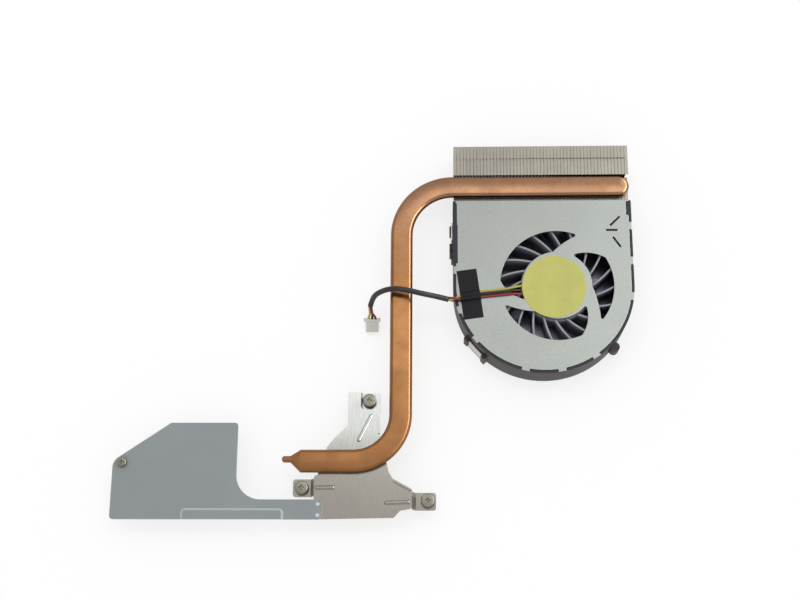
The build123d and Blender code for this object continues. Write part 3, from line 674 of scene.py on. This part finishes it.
def copper_finish(tones, low, high):
    """Softly tarnished copper tube between two corners, warmer near the bracket, with painted shade down its
    sides.
    """
    warm_start, warm_end, hot_start, hot_end = 8 * MM, 38 * MM, 24 * MM, 8 * MM
    tarnish_dark, faint_dark, side_shade_share = 0.14, 0.1, 0.35
    tarnish_dull, hot_dull, swell_depth = 0.06, 0.16, 0.03
    material, tree = new_material("pipe_copper")
    patches = effect(tree, "Blotches", Scale=55.0, Low=0.36, High=0.66)
    faint = effect(tree, "Blotches", Scale=260.0, Low=0.4, High=0.75)
    grain = effect(tree, "Surface Grain", Scale=1500.0)
    swell = effect(tree, "Blotches", Scale=150.0, Low=0.1, High=0.9)
    base = faded(tree, tones.copper, ("Y", high.y - warm_end, high.y - warm_start, tones.tarnish))
    base = darkened(tree, ranged(tree, patches, 0, tarnish_dark), base)
    base = darkened(tree, ranged(tree, faint, 0, faint_dark), base)
    # Painted shade: the colour browns from the pipe's top down its sides
    painted_side_shade = along(tree, "Z", high.z, (low.z + high.z) / 2)
    base = mixed(tree, ranged(tree, painted_side_shade, 0, side_shade_share), base, tones.shade)
    rough = ranged(tree, grain, 0.2, 0.26, *NOISE_SPAN)
    rough = computed(tree, "ADD", rough, ranged(tree, patches, 0, tarnish_dull))
    hot = along(tree, "Y", low.y + hot_start, low.y + hot_end)
    rough = computed(tree, "ADD", rough, ranged(tree, hot, 0, hot_dull))
    return surfaced(material, Metallic=1.0, Base_Color=base, Roughness=rough,
                    Normal=relief(tree, swell, swell_depth))


def moulded_finish(name, tone, rough, grain=4200.0, depth=0.006, fade=None, **sockets):
    """Moulded plastic with a fine etched grain, its depth in millimetres, and slight smudges."""
    smudge_dark, smudge_dull, smoother, rougher = 0.2, 0.06, rough - 0.05, rough + 0.07
    material, tree = new_material(name)
    grains = effect(tree, "Surface Grain", Scale=grain)
    smudges = effect(tree, "Blotches", Scale=110.0, Low=0.4, High=0.75)
    base = darkened(tree, ranged(tree, smudges, smudge_dark, 0), faded(tree, tone, fade))
    dull = computed(tree, "ADD", ranged(tree, grains, smoother, rougher, *NOISE_SPAN),
                    ranged(tree, smudges, 0, smudge_dull))
    return surfaced(material, Base_Color=base, Roughness=dull, Normal=relief(tree, grains, depth), **sockets)


def paint_finish(tones, low, sheet, high):
    """Matt paint with a slight orange peel, by height: a painted highlight round the pressed strip's sides,
    bare metal at the cut edges and a painted highlight in the clinch marks.
    """
    patch_dark, edge_slack, peel_depth = 0.05, 0.06 * MM, 0.01
    material, tree = new_material("plate_paint")
    peel = effect(tree, "Surface Grain", Scale=1700.0)
    patches = effect(tree, "Blotches", Scale=60.0, Low=0.35, High=0.7)
    base = darkened(tree, ranged(tree, patches, patch_dark, 0), tones.paint)
    # By height: the cut edges and clinch marks take the bare tone, which is bare metal at the edges and
    # painted highlight in the marks; the pressed strip's sides take a painted highlight
    for start, end, tone in ((low, low + sheet, tones.bare_metal_and_highlight), (low + sheet, high, tones.rubbing_and_highlight)):
        base = mixed(tree, between(tree, start, end, edge_slack), base, tone)
    return surfaced(material, Base_Color=base, Roughness=ranged(tree, peel, 0.44, 0.56, *NOISE_SPAN),
                    Normal=relief(tree, peel, peel_depth))


def label_finish(tone):
    """Coated plain film with faint rubbed patches."""
    rubbed_share, fibre_depth = 0.9, 0.003
    material, tree = new_material("label_yellow")
    rubbing_and_highlight = effect(tree, "Blotches", Scale=160.0, Low=0.35, High=0.8)
    fibres = effect(tree, "Surface Grain", Scale=5200.0)
    return surfaced(material, Coat_Weight=0.1, Coat_Roughness=0.25,
                    Base_Color=mixed(tree, rubbing_and_highlight, tone, scaled(tone, rubbed_share)),
                    Roughness=ranged(tree, rubbing_and_highlight, 0.42, 0.55), Normal=relief(tree, fibres, fibre_depth))


def tape_finish(tone):
    """Woven tape: crossing threads with a dull coat and a little dust."""
    gap, thread, dusty, dust_share, weave_depth = 0.75, 1.25, 3.0, 0.2, 0.02
    material, tree = new_material("tape_black")
    threads = [
        node(tree, "ShaderNodeTexWave", {"Vector": object_place(tree), "Scale": 900.0, "Distortion": 0.6,
                                         "Detail": 1.0}, bands_direction=direction).outputs["Fac"]
        for direction in ("X", "Y")
    ]
    weave = computed(tree, "MULTIPLY", *threads)
    dust = effect(tree, "Blotches", Scale=300.0, Low=0.55, High=0.8)
    base = mixed(tree, weave, scaled(tone, gap), scaled(tone, thread))
    base = mixed(tree, ranged(tree, dust, 0, dust_share), base, scaled(tone, dusty))
    return surfaced(material, Specular_IOR_Level=0.22, Base_Color=base,
                    Roughness=ranged(tree, weave, 0.7, 0.52), Normal=relief(tree, weave, weave_depth))


def winding_finish(tones):
    """Enamelled wire laid round a pole."""
    wire_depth = 0.05
    material, tree = new_material("winding_copper")
    rings = node(tree, "ShaderNodeTexWave", {"Vector": object_place(tree), "Scale": 1400.0,
                                             "Distortion": 0.4}, wave_type="RINGS")
    turns = rings.outputs["Fac"]
    return surfaced(material, Metallic=0.9, Coat_Weight=0.5,
                    Base_Color=mixed(tree, turns, tones.winding_gap, tones.winding),
                    Roughness=ranged(tree, turns, 0.45, 0.3), Normal=relief(tree, turns, wire_depth))


# Pieces


class UndoStep:
    """An operator that can be undone."""
    bl_options = {"REGISTER", "UNDO"}


class COOLER_OT_fan_shell(UndoStep, bpy.types.Operator):
    """Moulded housing, stamped cover and stamped base of the blower"""
    bl_idname = "cooler.fan_shell"
    bl_label = "Fan Shell"

    def execute(self, context):
        sizes, tones = context.scene.cooler_fan, context.scene.cooler_colours
        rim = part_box("fan_housing")[1].z
        # The housing goes from the rim colour to the wall colour downwards: a painted reflection of the floor
        # on its side wall
        finish = moulded_finish("housing_plastic", tones.housing, rough=0.5, Specular_IOR_Level=0.35,
                                fade=("Z", rim - sizes.rim_fade, rim - sizes.rim_band, tones.wall))
        dressed("fan_housing", "housing_moulding", "housing_plastic", finish, sizes.housing_edge)
        finish = sheet_metal("cover_sheet", tones.cover, stretch=(1400.0, 1400.0, 1400.0), rough=0.4,
                             patch_scale=45.0, contrast=0.45)
        dressed("fan_cover", "cover_stamping", "cover_sheet", finish, sizes.sheet_edge)
        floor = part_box("base_plate")[0].z
        finish = sheet_metal("base_sheet", tones.base, stretch=(60.0, 2500.0, 2500.0), rough=0.32,
                             fade=("Z", floor + sizes.dust_low, floor + sizes.dust_high, tones.dusty))
        dressed("base_plate", "base_stamping", "base_sheet", finish, sizes.sheet_edge)
        return done()


class COOLER_OT_impeller(UndoStep, bpy.types.Operator):
    """Impeller with its swept blades"""
    bl_idname = "cooler.impeller"
    bl_label = "Impeller"

    def execute(self, context):
        sizes, tones = context.scene.cooler_fan, context.scene.cooler_colours
        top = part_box("impeller")[1].z
        # The blades grow paler towards their tops: partly dust, partly painted sheen
        finish = moulded_finish("blade_plastic", tones.blade_dust_and_sheen, rough=0.4, grain=1600.0, depth=0.004,
                                fade=("Z", top - sizes.blade_fade, top, tones.blade),
                                IOR=1.5, Coat_Weight=0.1, Coat_Roughness=0.25)
        dressed("impeller", "blower_wheel", "blade_plastic", finish, sizes.blade_edge, body="rotor")
        return done()


class COOLER_OT_motor(UndoStep, bpy.types.Operator):
    """Finishes of the motor pieces inside the hub"""
    bl_idname = "cooler.motor"
    bl_label = "Motor"

    def execute(self, context):
        tones = context.scene.cooler_colours
        upright = (1500.0, 1500.0, 60.0)
        steel = sheet_metal("motor_steel", tones.steel, stretch=upright, rough=0.35)
        bronze = sheet_metal("bearing_bronze", tones.bronze, stretch=upright, rough=0.45)
        magnet = moulded_finish("magnet_ferrite", tones.magnet, rough=0.6, grain=2500.0, depth=0.02)
        finishes = {
            "rotor_yoke": steel, "rotor_shaft": steel, "stator_core": steel, "ring_magnet": magnet,
            "sleeve_bearing": bronze, "bearing_tube": bronze,
            "thrust_pad": moulded_finish("pad_plastic", tones.thrust, rough=0.4),
            "stator_coils": winding_finish(tones),
            "motor_board": moulded_finish("board_laminate", tones.board, rough=0.3),
        }
        for name, finish in finishes.items():
            refinished(name, finish)
        return done()


class COOLER_OT_hub_label(UndoStep, bpy.types.Operator):
    """Round plain film on the hub disc"""
    bl_idname = "cooler.hub_label"
    bl_label = "Hub Label"

    def execute(self, context):
        edge = context.scene.cooler_fan.label_edge
        rim = 4 * edge
        low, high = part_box("hub_label")
        label = started(bpy.ops.mesh.primitive_cylinder_add, vertices=128, radius=(high.x - low.x) / 2,
                        depth=high.z - low.z, location=(low + high) / 2)
        pick("FACE", lambda place, normal: normal.z > FACING)
        bpy.ops.mesh.inset(thickness=rim)
        finish = label_finish(context.scene.cooler_colours.label)
        settled(smoothed(rounded(label, edge)), "hub_film", "label_yellow", finish, "hub_label")
        return done()


def wire(name, points, diameter):
    """A round lead on a smooth line through control points given from the impeller axis."""
    line = bpy.data.curves.new(name, "CURVE")
    line.dimensions = "3D"
    spline = line.splines.new("NURBS")
    spline.points.add(len(points) - 1)
    for point, place in zip(spline.points, points):
        point.co = (*(Vector(place) + fan_axis), 1)
    spline.order_u = 3
    spline.use_endpoint_u = True
    line.resolution_u = 10
    line.bevel_depth = diameter / 2
    line.bevel_resolution = 5
    piece = bpy.data.objects.new(name, line)
    bpy.context.scene.collection.objects.link(piece)
    return piece


def as_mesh(piece):
    """A curve made a mesh."""
    hold(piece)
    bpy.ops.object.convert(target="MESH")
    return smoothed(bpy.context.active_object, angle=60)


def capped_wire(name, points, diameter):
    """A lead with closed ends, as a mesh."""
    lead = wire(name, points, diameter)
    lead.data.use_fill_caps = True
    return as_mesh(lead)


class COOLER_OT_leads(UndoStep, bpy.types.Operator):
    """Three insulated leads from the hub to the sleeve's mouth"""
    bl_idname = "cooler.leads"
    bl_label = "Leads"

    def execute(self, context):
        for name, way in LEAD_WAYS.items():
            lead = capped_wire(f"{name}_wire", way, context.scene.cooler_cable.lead)
            tone = getattr(context.scene.cooler_colours, name)
            finish = moulded_finish(f"insulation_{name}", tone, rough=0.5, grain=2500.0, depth=0.01)
            settled(lead, f"{name}_wire", f"insulation_{name}", finish, f"lead_{name}")
        return done()


class COOLER_OT_cable_tape(UndoStep, bpy.types.Operator):
    """Cloth tape pressed over the leads"""
    bl_idname = "cooler.cable_tape"
    bl_label = "Cable Tape"

    def execute(self, context):
        sizes = context.scene.cooler_fan
        low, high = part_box("cable_tape")
        middle = (low + high) / 2
        tape = started(bpy.ops.mesh.primitive_grid_add, x_subdivisions=40, y_subdivisions=100, size=1,
                       location=(middle.x, middle.y, high.z + MM), rotation=(0, 0, sizes.tape_turn),
                       scale=(sizes.tape_width, sizes.tape_length, 1))
        idle()
        form = self.form_below(context.scene, middle)
        modified(tape, "SHRINKWRAP", target=form, wrap_method="PROJECT", use_project_z=True,
                 use_negative_direction=True, use_positive_direction=False, offset=sizes.tape_sheet / 2)
        bpy.data.objects.remove(form)
        modified(tape, "SMOOTH", factor=0.5, iterations=8)
        modified(tape, "SOLIDIFY", thickness=sizes.tape_sheet, offset=0)
        rounded(tape, sizes.tape_sheet / 3, angle=60)
        finish = tape_finish(context.scene.cooler_colours.tape)
        settled(smoothed(tape, angle=60), "lead_tape", "tape_black", finish, "cable_tape")
        return done()

    def form_below(self, scene, middle):
        """What the tape lies on: the cover's top with the leads on it, a little thicker than they are."""
        sizes = scene.cooler_fan
        sheet = started(bpy.ops.mesh.primitive_plane_add, size=2 * max(sizes.tape_length, sizes.tape_width),
                        location=(middle.x, middle.y, cover_top))
        idle()
        thick = scene.cooler_cable.lead + 3 * sizes.tape_sheet
        return joined([sheet, *(as_mesh(wire("form_wire", way, thick)) for way in LEAD_WAYS.values())])


def plug_axes():
    """The connector's axes: across its poles, down through its thickness, and into it, along Y in plan."""
    run = Vector(CABLE_ROUTE[-1]) - Vector(CABLE_ROUTE[-2])
    inward = Vector((0, run.y, run.z)).normalized()
    across = inward.cross(UP).normalized()
    return across, inward.cross(across), inward


class COOLER_OT_fan_cable(UndoStep, bpy.types.Operator):
    """Sleeve over the leads, the bare lead ends and the connector"""
    bl_idname = "cooler.fan_cable"
    bl_label = "Fan Cable"

    def execute(self, context):
        sizes, tones = context.scene.cooler_cable, context.scene.cooler_colours
        sleeve = wire("cable_sleeve", CABLE_ROUTE[:-1], sizes.sleeve)
        wall = sleeve.modifiers.new("wall", "SOLIDIFY")
        wall.thickness = sizes.sleeve_wall
        wall.offset = -1
        finish = moulded_finish("sleeve_black", tones.sleeve, rough=0.45, grain=1800.0, depth=0.02)
        settled(sleeve, "cable_sleeve", "sleeve_black", finish, "fan_cable")
        tails = self.tails(sizes)
        plug = self.plug(sizes, tones)
        finish = sheet_metal("contact_tin", tones.contact, stretch=(1500.0, 1500.0, 1500.0), rough=0.3)
        contacts = refinished("connector_contacts", finish)
        return done()

    def tails(self, sizes):
        """The leads' ends, tucked into the sleeve, spread to the poles and seated in the connector."""
        tuck, clear, spread, seat = 2 * MM, 0.5 * MM, 1.2 * MM, 0.5 * MM
        gathered, parted = 0.15, 0.6
        mouth, entry = Vector(CABLE_ROUTE[-2]), Vector(CABLE_ROUTE[-1])
        back = (mouth - Vector(CABLE_ROUTE[-3])).normalized()
        across, down, inward = plug_axes()
        tails = []
        for pole, name in enumerate(POLES):
            side, lift = BUNDLE[name]
            near = (across * side - down * lift) * sizes.lead
            far = across * (1 - pole) * sizes.pitch
            points = [
                mouth - back * tuck + near, mouth + back * clear + near,
                (mouth + entry) / 2 + near.lerp(far, gathered),
                entry - inward * spread + near.lerp(far, parted),
                entry - inward * seat + far, entry + inward * seat + far,
            ]
            tail = capped_wire(f"{name}_tail", points, sizes.lead)
            finish = bpy.data.objects[f"{name}_wire"].data.materials[0]
            tails.append(settled(tail, f"{name}_tail", f"insulation_{name}", finish))
        return tails

    def plug(self, sizes, tones):
        """The connector, modelled upright with its entry at the bottom and then laid at the cable's end."""
        window_low, window_high, lip_thick = sizes.reach * 0.4, sizes.reach * 0.75, sizes.overhang / 4
        plug = started(bpy.ops.mesh.primitive_cube_add, size=1, location=(0, 0, sizes.reach / 2),
                       scale=(sizes.width, sizes.depth, sizes.reach))
        cuts = [((0, 0, height), UP) for height in (sizes.lip, window_low, window_high)]
        cuts += [((side * sizes.pitch, 0, 0), (1, 0, 0)) for side in (-0.5, 0.5)]
        for place, normal in cuts:
            bpy.ops.mesh.select_all(action="SELECT")
            bpy.ops.mesh.bisect(plane_co=place, plane_no=normal)
        for side in (-1, 1):
            pick("FACE", lambda place, normal: normal.x * side > FACING and place.z < sizes.lip)
            push(x=side * sizes.overhang)
        for side in (-1, 1):
            pick("FACE", lambda place, normal: normal.y * side > FACING and place.z < sizes.lip)
            push(y=side * lip_thick)
        edit(rounded(plug, sizes.plug_edge))
        pick("FACE", lambda place, normal: normal.z > SQUARE and place.z > sizes.reach - sizes.plug_edge)
        bpy.ops.mesh.inset(thickness=sizes.plug_wall, use_individual=True)
        push(z=-sizes.socket)
        for side in (-1, 1):
            pick("FACE", lambda place, normal: normal.y * side > SQUARE and window_low < place.z < window_high
                 and abs(place.x) < sizes.pitch / 2)
            bpy.ops.mesh.inset(thickness=sizes.plug_wall)
            push(y=-side * sizes.window)
        idle()
        turn = Matrix(plug_axes()).transposed()
        plug.matrix_world = Matrix.Translation(Vector(CABLE_ROUTE[-1]) + fan_axis) @ turn.to_4x4()
        hold(plug)
        bpy.ops.object.transform_apply(location=True, rotation=True, scale=True)
        finish = moulded_finish("connector_ivory", tones.connector, rough=0.32, grain=2600.0, depth=0.004)
        return settled(smoothed(plug), "cable_plug", "connector_ivory", finish, "connector_housing")


class COOLER_OT_fin_stack(UndoStep, bpy.types.Operator):
    """Folded fins at the blower's outlet"""
    bl_idname = "cooler.fin_stack"
    bl_label = "Fin Stack"

    def execute(self, context):
        sizes = context.scene.cooler_sink
        low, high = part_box("fin_stack")
        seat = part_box("heat_pipe")[0].z
        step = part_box("heat_pipe")[1].y + sizes.pipe_room
        groove = high.y - sizes.groove_back
        hook = high.z - sizes.groove_depth
        outline = [
            (low.y, low.z), (low.y, seat), (step, seat), (step, high.z), (groove, high.z), (groove, hook),
            (groove + sizes.groove_width, hook), (groove + sizes.groove_width, high.z),
            (high.y, high.z), (high.y, low.z),
        ]
        fin = traced([(low.x, *place) for place in outline])
        bpy.ops.mesh.edge_face_add()
        for level in (low.z, seat, high.z, hook):
            pick("EDGE", lambda place: place.x < low.x + NEAR and abs(place.z - level) < NEAR)
            push(x=sizes.fin_pitch - sizes.fin_gap)
        bpy.ops.mesh.select_all(action="SELECT")
        bpy.ops.mesh.normals_make_consistent(inside=False)
        idle()
        web = max(fin.data.polygons, key=lambda face: face.area)
        if web.normal.x > 0:
            fin.data.flip_normals()
        modified(fin, "SOLIDIFY", thickness=sizes.fin_sheet, offset=-1, use_even_offset=True)
        rounded(fin, sizes.fin_sheet / 4, segments=1, angle=50)
        modified(fin, "ARRAY", count=sizes.fin_count, use_relative_offset=False, use_constant_offset=True,
                 constant_offset_displace=(sizes.fin_pitch, 0, 0))
        tone = context.scene.cooler_colours.fin
        finish = sheet_metal("fin_sheet", tone, stretch=(900.0, 60.0, 900.0), rough=0.42)
        settled(smoothed(fin), "folded_fins", "fin_sheet", finish, "fin_stack")
        return done()


class COOLER_OT_heat_pipe(UndoStep, bpy.types.Operator):
    """Flattened copper pipe with two bends, a round end and a pinched filling tip"""
    bl_idname = "cooler.heat_pipe"
    bl_label = "Heat Pipe"
    round_steps, end_steps, bend_steps, taper_steps, tip_steps = 40, 24, 28, 8, 5

    def execute(self, context):
        sizes = context.scene.cooler_sink
        low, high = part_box("heat_pipe")
        radius, half = (high.z - low.z) / 2, sizes.pipe_width / 2
        start = Vector((high.x - half, high.y - half, low.z + radius))
        cpu_y = low.y + half
        cross_x = fan_axis.x - sizes.pipe_cross
        pipe = started(bpy.ops.mesh.primitive_circle_add, vertices=self.round_steps, radius=radius,
                       location=start, rotation=(0, radians(90), 0))
        for side in (-1, 1):
            pick("VERT", lambda place: (place.y - start.y) * side > NEAR)
            bpy.ops.transform.translate(value=(0, side * (half - radius), 0))
        pick("EDGE", lambda place: place.y > start.y - NEAR)
        bpy.ops.mesh.spin(steps=self.end_steps, angle=pi, center=start, axis=UP)
        pick("EDGE", lambda place: abs(place.x - start.x) < NEAR)
        push(x=cross_x + sizes.sink_bend - start.x)
        bend = Vector((cross_x + sizes.sink_bend, start.y - sizes.sink_bend, start.z))
        bpy.ops.mesh.spin(steps=self.bend_steps, angle=radians(90), center=bend, axis=-UP)
        push(y=cpu_y + sizes.cpu_bend - bend.y)
        bend = Vector((cross_x - sizes.cpu_bend, cpu_y + sizes.cpu_bend, start.z))
        bpy.ops.mesh.spin(steps=self.bend_steps, angle=radians(90), center=bend, axis=UP)
        taper_x = low.x + sizes.nib_length + sizes.taper
        push(x=taper_x - bend.x)
        self.pinch(sizes, Vector((taper_x, cpu_y, start.z)), radius)
        closed_up()
        finish = copper_finish(context.scene.cooler_colours, low, high)
        settled(smoothed(pipe, angle=50), "copper_pipe", "pipe_copper", finish, "heat_pipe")
        return done()

    def pinch(self, sizes, end, radius):
        """Tapers the open end to the filling tip and closes it round."""
        middle, width, height = end.y, sizes.pipe_width, 2 * radius
        for step in range(1, self.taper_steps + 1):
            share = step / self.taper_steps
            shift = sizes.nib_shift * share - (end.y - middle)
            push(x=-sizes.taper / self.taper_steps, y=shift)
            end = end + Vector((-sizes.taper / self.taper_steps, shift, 0))
            wide = sizes.pipe_width + (sizes.nib_width - sizes.pipe_width) * share
            high = 2 * radius + (sizes.nib_height - 2 * radius) * share
            bpy.ops.transform.resize(value=(1, wide / width, high / height), center_override=end)
            width, height = wide, high
        tip = sizes.nib_height / 2
        push(x=-(sizes.nib_length - tip))
        end = end - Vector((sizes.nib_length - tip, 0, 0))
        for step in range(1, self.tip_steps):
            before, angle = (turn * pi / 2 / self.tip_steps for turn in (step - 1, step))
            reach = tip * (sin(angle) - sin(before))
            push(x=-reach)
            end = end - Vector((reach, 0, 0))
            shrink = cos(angle) / cos(before)
            bpy.ops.transform.resize(value=(1, shrink, shrink), center_override=end)
        bpy.ops.mesh.edge_face_add()


class COOLER_OT_bracket(UndoStep, bpy.types.Operator):
    """Stamped processor bracket, its copper contact plate and the painted extension plate"""
    bl_idname = "cooler.bracket"
    bl_label = "Bracket and Plate"

    def execute(self, context):
        sizes, tones = context.scene.cooler_sink, context.scene.cooler_colours
        self.bracket(sizes, tones)
        low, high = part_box("extension_plate")
        finish = paint_finish(tones, low.z, sizes.plate_sheet, high.z)
        dressed("extension_plate", "painted_plate", "plate_paint", finish, sizes.plate_edge)
        finish = sheet_metal("plate_copper", tones.copper, stretch=(70.0, 2200.0, 2200.0), rough=0.3)
        dressed("cpu_contact_plate", "contact_block", "plate_copper", finish, sizes.plate_edge)
        return done()

    def bracket(self, sizes, tones):
        """The bracket with round-topped ribs, with painted shade darkening its lower part, and dull in its
        bends.
        """
        full_shade_until, no_shade_from = 0.45, 0.7
        low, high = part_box("cpu_bracket")
        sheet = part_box("heat_pipe")[0].z
        bracket = edit(plain_copy("cpu_bracket"))
        pick("EDGE", lambda place: abs(place.z - sheet - sizes.rib_height) < NEAR)
        bpy.ops.mesh.bevel(offset=sizes.rib_edge, segments=4)
        idle()
        # Painted shade: the bracket darkens from its bright arm down to its lower part
        reach = high.y - low.y
        fade = ("Y", low.y + full_shade_until * reach, low.y + no_shade_from * reach, tones.bracket_lower_shade)
        finish = sheet_metal("bracket_steel", tones.bracket, stretch=(3000.0, 160.0, 3000.0), rough=0.22,
                             patch_scale=60.0, contrast=0.5, fade=fade, dull=(sheet - sizes.pad_drop, sheet))
        softened(bracket, sizes.plate_edge, clear=True)
        settled(bracket, "nickel_bracket", "bracket_steel", finish, "cpu_bracket")


class COOLER_OT_screws(UndoStep, bpy.types.Operator):
    """Captive screws with cross recesses and threads, and their retaining clips"""
    bl_idname = "cooler.screws"
    bl_label = "Screws"
    round_steps, dome_steps = 40, 6

    def execute(self, context):
        sizes, tones = context.scene.cooler_screw, context.scene.cooler_colours
        finish = sheet_metal("screw_steel", tones.screw, stretch=(1500.0, 1500.0, 1500.0), rough=0.34)
        mounts = {mount["name"]: Vector(mount["pos_m"]) for mount in frame["record"]["mounts"]}
        groups = {
            "bracket_screws": ("pad_screws", sizes.head, ["arm_screw", "left_screw", "right_screw"]),
            "plate_screw": ("corner_screw", sizes.plate_head, ["plate_screw"]),
        }
        for solids, (name, head, places) in groups.items():
            low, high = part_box(solids)
            first = mounts[places[0]]
            screw = self.screw(sizes, head, Vector((first.x, first.y, 0)), low.z, high.z)
            copies = [copied(screw, (mounts[place] - first) * Vector((1, 1, 0))) for place in places[1:]]
            settled(smoothed(joined([screw, *copies])), name, "screw_steel", finish, solids)
        for name in ("bracket_retainers", "plate_retainer"):
            refinished(name, finish)
        return done()

    def screw(self, sizes, head, centre, tip, top):
        """One screw, turned from its pointed tip over thread and neck to its domed head, with its recess."""
        point, neck, chamfer, dome = 0.3 * MM, 1.2 * MM, 0.15 * MM, 0.45 * MM
        tip_share, chamfer_share = 0.8, 0.92
        under = top - sizes.head_height
        minor = sizes.shank - sizes.thread_depth
        profile = [(0, tip), (minor * tip_share, tip), (minor, tip + point)]
        for turn in range(int((under - tip - neck) / sizes.thread_pitch)):
            height = tip + point + turn * sizes.thread_pitch
            profile += [(sizes.shank, height + sizes.thread_pitch / 2), (minor, height + sizes.thread_pitch)]
        profile += [(minor, under), (head * chamfer_share, under), (head, under + chamfer)]
        for step in range(self.dome_steps + 1):
            angle = radians(90) * step / self.dome_steps
            profile.append((head - dome * (1 - cos(angle)), top - dome * (1 - sin(angle))))
        profile.append((0, top))
        screw = turned(profile, centre, self.round_steps)
        return combined(screw, self.cross(sizes, centre, top), "DIFFERENCE")

    def cross(self, sizes, centre, top):
        """The cross recess: two tapered bars."""
        taper = 0.55
        bars = []
        for size in ((2 * sizes.recess, sizes.recess_width), (sizes.recess_width, 2 * sizes.recess)):
            bars.append(started(bpy.ops.mesh.primitive_cube_add, size=1, location=centre + UP * top,
                                scale=(*size, 2 * sizes.recess_depth)))
            pick("FACE", lambda place, normal: normal.z < -FACING)
            foot = centre + UP * (top - sizes.recess_depth)
            bpy.ops.transform.resize(value=(taper, taper, 1), center_override=foot)
            idle()
        return combined(*bars, "UNION")


class COOLER_OT_stage(UndoStep, bpy.types.Operator):
    """Pale floor, soft light and the camera"""
    bl_idname = "cooler.stage"
    bl_label = "Stage"

    def execute(self, context):
        scene, settings = context.scene, context.scene.cooler_stage
        scene.view_settings.view_transform = "Standard"
        self.floor(scene, settings)
        self.sky(scene, settings)
        self.soft_box("key_box", settings.key_place, settings.key_size, settings.key)
        strip = self.soft_box("strip_box", settings.strip_place, settings.strip_size, settings.strip)
        strip.visible_diffuse = False
        self.camera(scene, settings)
        return done()

    def floor(self, scene, settings):
        """A floor just under the cooler: part of its colour takes shadows and the rest glows."""
        clear = 0.02 * MM
        plane = started(bpy.ops.mesh.primitive_grid_add, x_subdivisions=4, y_subdivisions=4,
                        size=settings.floor, location=(0, 0, floor_level - clear))
        idle()
        plane.name = "studio_floor"
        material, tree = new_material("studio_floor")
        tree.nodes.clear()
        tone = scaled(scene.cooler_colours.floor, settings.shade)
        shade = node(tree, "ShaderNodeBsdfDiffuse", {"Color": (*tone, 1)})
        path = tree.nodes.new("ShaderNodeLightPath").outputs
        seen = computed(tree, "MAXIMUM", path["Is Camera Ray"], path["Is Glossy Ray"])
        seen = computed(tree, "MAXIMUM", seen, path["Is Transmission Ray"])
        strength = computed(tree, "MULTIPLY", seen, settings.glow)
        glow = node(tree, "ShaderNodeEmission", {"Color": (*WHITE, 1), "Strength": strength})
        both = node(tree, "ShaderNodeAddShader", {0: shade.outputs[0], 1: glow.outputs[0]})
        node(tree, "ShaderNodeOutputMaterial", {"Surface": both.outputs[0]})
        plane.data.materials.append(material)

    def sky(self, scene, settings):
        """Even white light from all sides."""
        world = bpy.data.worlds.new("studio")
        world.use_nodes = True
        scene.world = world
        light = world.node_tree.nodes["Background"]
        light.inputs["Color"].default_value = (*WHITE, 1)
        light.inputs["Strength"].default_value = settings.sky

    def soft_box(self, name, place, size, radiance):
        """A square-cornered lamp that looks at the origin, of a given radiance."""
        idle()
        bpy.ops.object.light_add(type="AREA", location=place)
        lamp = bpy.context.active_object
        lamp.name = name
        lamp.rotation_euler = place.to_track_quat("Z", "Y").to_euler()
        lamp.data.shape = "RECTANGLE"
        lamp.data.size, lamp.data.size_y = size
        lamp.data.energy = radiance * pi * size[0] * size[1]
        return lamp

    def camera(self, scene, settings):
        """The camera, turned by its lean, tilt and roll from looking straight down."""
        idle()
        bpy.ops.object.camera_add()
        camera = bpy.context.active_object
        camera.name = "photo_camera"
        turn = (Matrix.Rotation(settings.yaw, 3, "Y") @ Matrix.Rotation(settings.pitch, 3, "X")
                @ Matrix.Rotation(settings.roll, 3, "Z"))
        camera.matrix_world = Matrix.Translation(settings.place) @ turn.to_4x4()
        camera.data.lens = settings.lens
        camera.data.sensor_width = settings.sensor
        camera.data.clip_start = 10 * MM
        scene.camera = camera


PIECES = [
    COOLER_OT_stage, COOLER_OT_leads, COOLER_OT_fan_cable, COOLER_OT_cable_tape, COOLER_OT_fan_shell,
    COOLER_OT_impeller, COOLER_OT_motor, COOLER_OT_hub_label, COOLER_OT_fin_stack, COOLER_OT_heat_pipe,
    COOLER_OT_bracket, COOLER_OT_screws,
]
SETTINGS = {
    "cooler_colours": CoolerColours, "cooler_fan": FanSizes, "cooler_sink": SinkSizes,
    "cooler_screw": ScrewSizes, "cooler_cable": CableSizes, "cooler_stage": StageSettings,
}


class COOLER_PT_panel(bpy.types.Panel):
    """Pieces and settings of the cooler"""
    bl_idname = "COOLER_PT_panel"
    bl_label = "Laptop Cooler"
    bl_space_type = "VIEW_3D"
    bl_region_type = "UI"
    bl_category = "Cooler"

    def draw(self, context):
        for piece in PIECES:
            self.layout.operator(piece.bl_idname)
        for name, group in SETTINGS.items():
            box = self.layout.box()
            box.label(text=group.__doc__)
            for setting in group.__annotations__:
                box.prop(getattr(context.scene, name), setting)


def register():
    for group in SETTINGS.values():
        bpy.utils.register_class(group)
    for name, group in SETTINGS.items():
        setattr(bpy.types.Scene, name, PointerProperty(type=group))
    for piece in [*PIECES, COOLER_PT_panel]:
        bpy.utils.register_class(piece)


def unregister():
    for piece in [COOLER_PT_panel, *reversed(PIECES)]:
        bpy.utils.unregister_class(piece)
    for name in SETTINGS:
        delattr(bpy.types.Scene, name)
    for group in SETTINGS.values():
        bpy.utils.unregister_class(group)


def main():
    register()
    for piece in PIECES:
        family, name = piece.bl_idname.split(".")
        getattr(getattr(bpy.ops, family), name)()


if __name__ == "__main__":
    main()
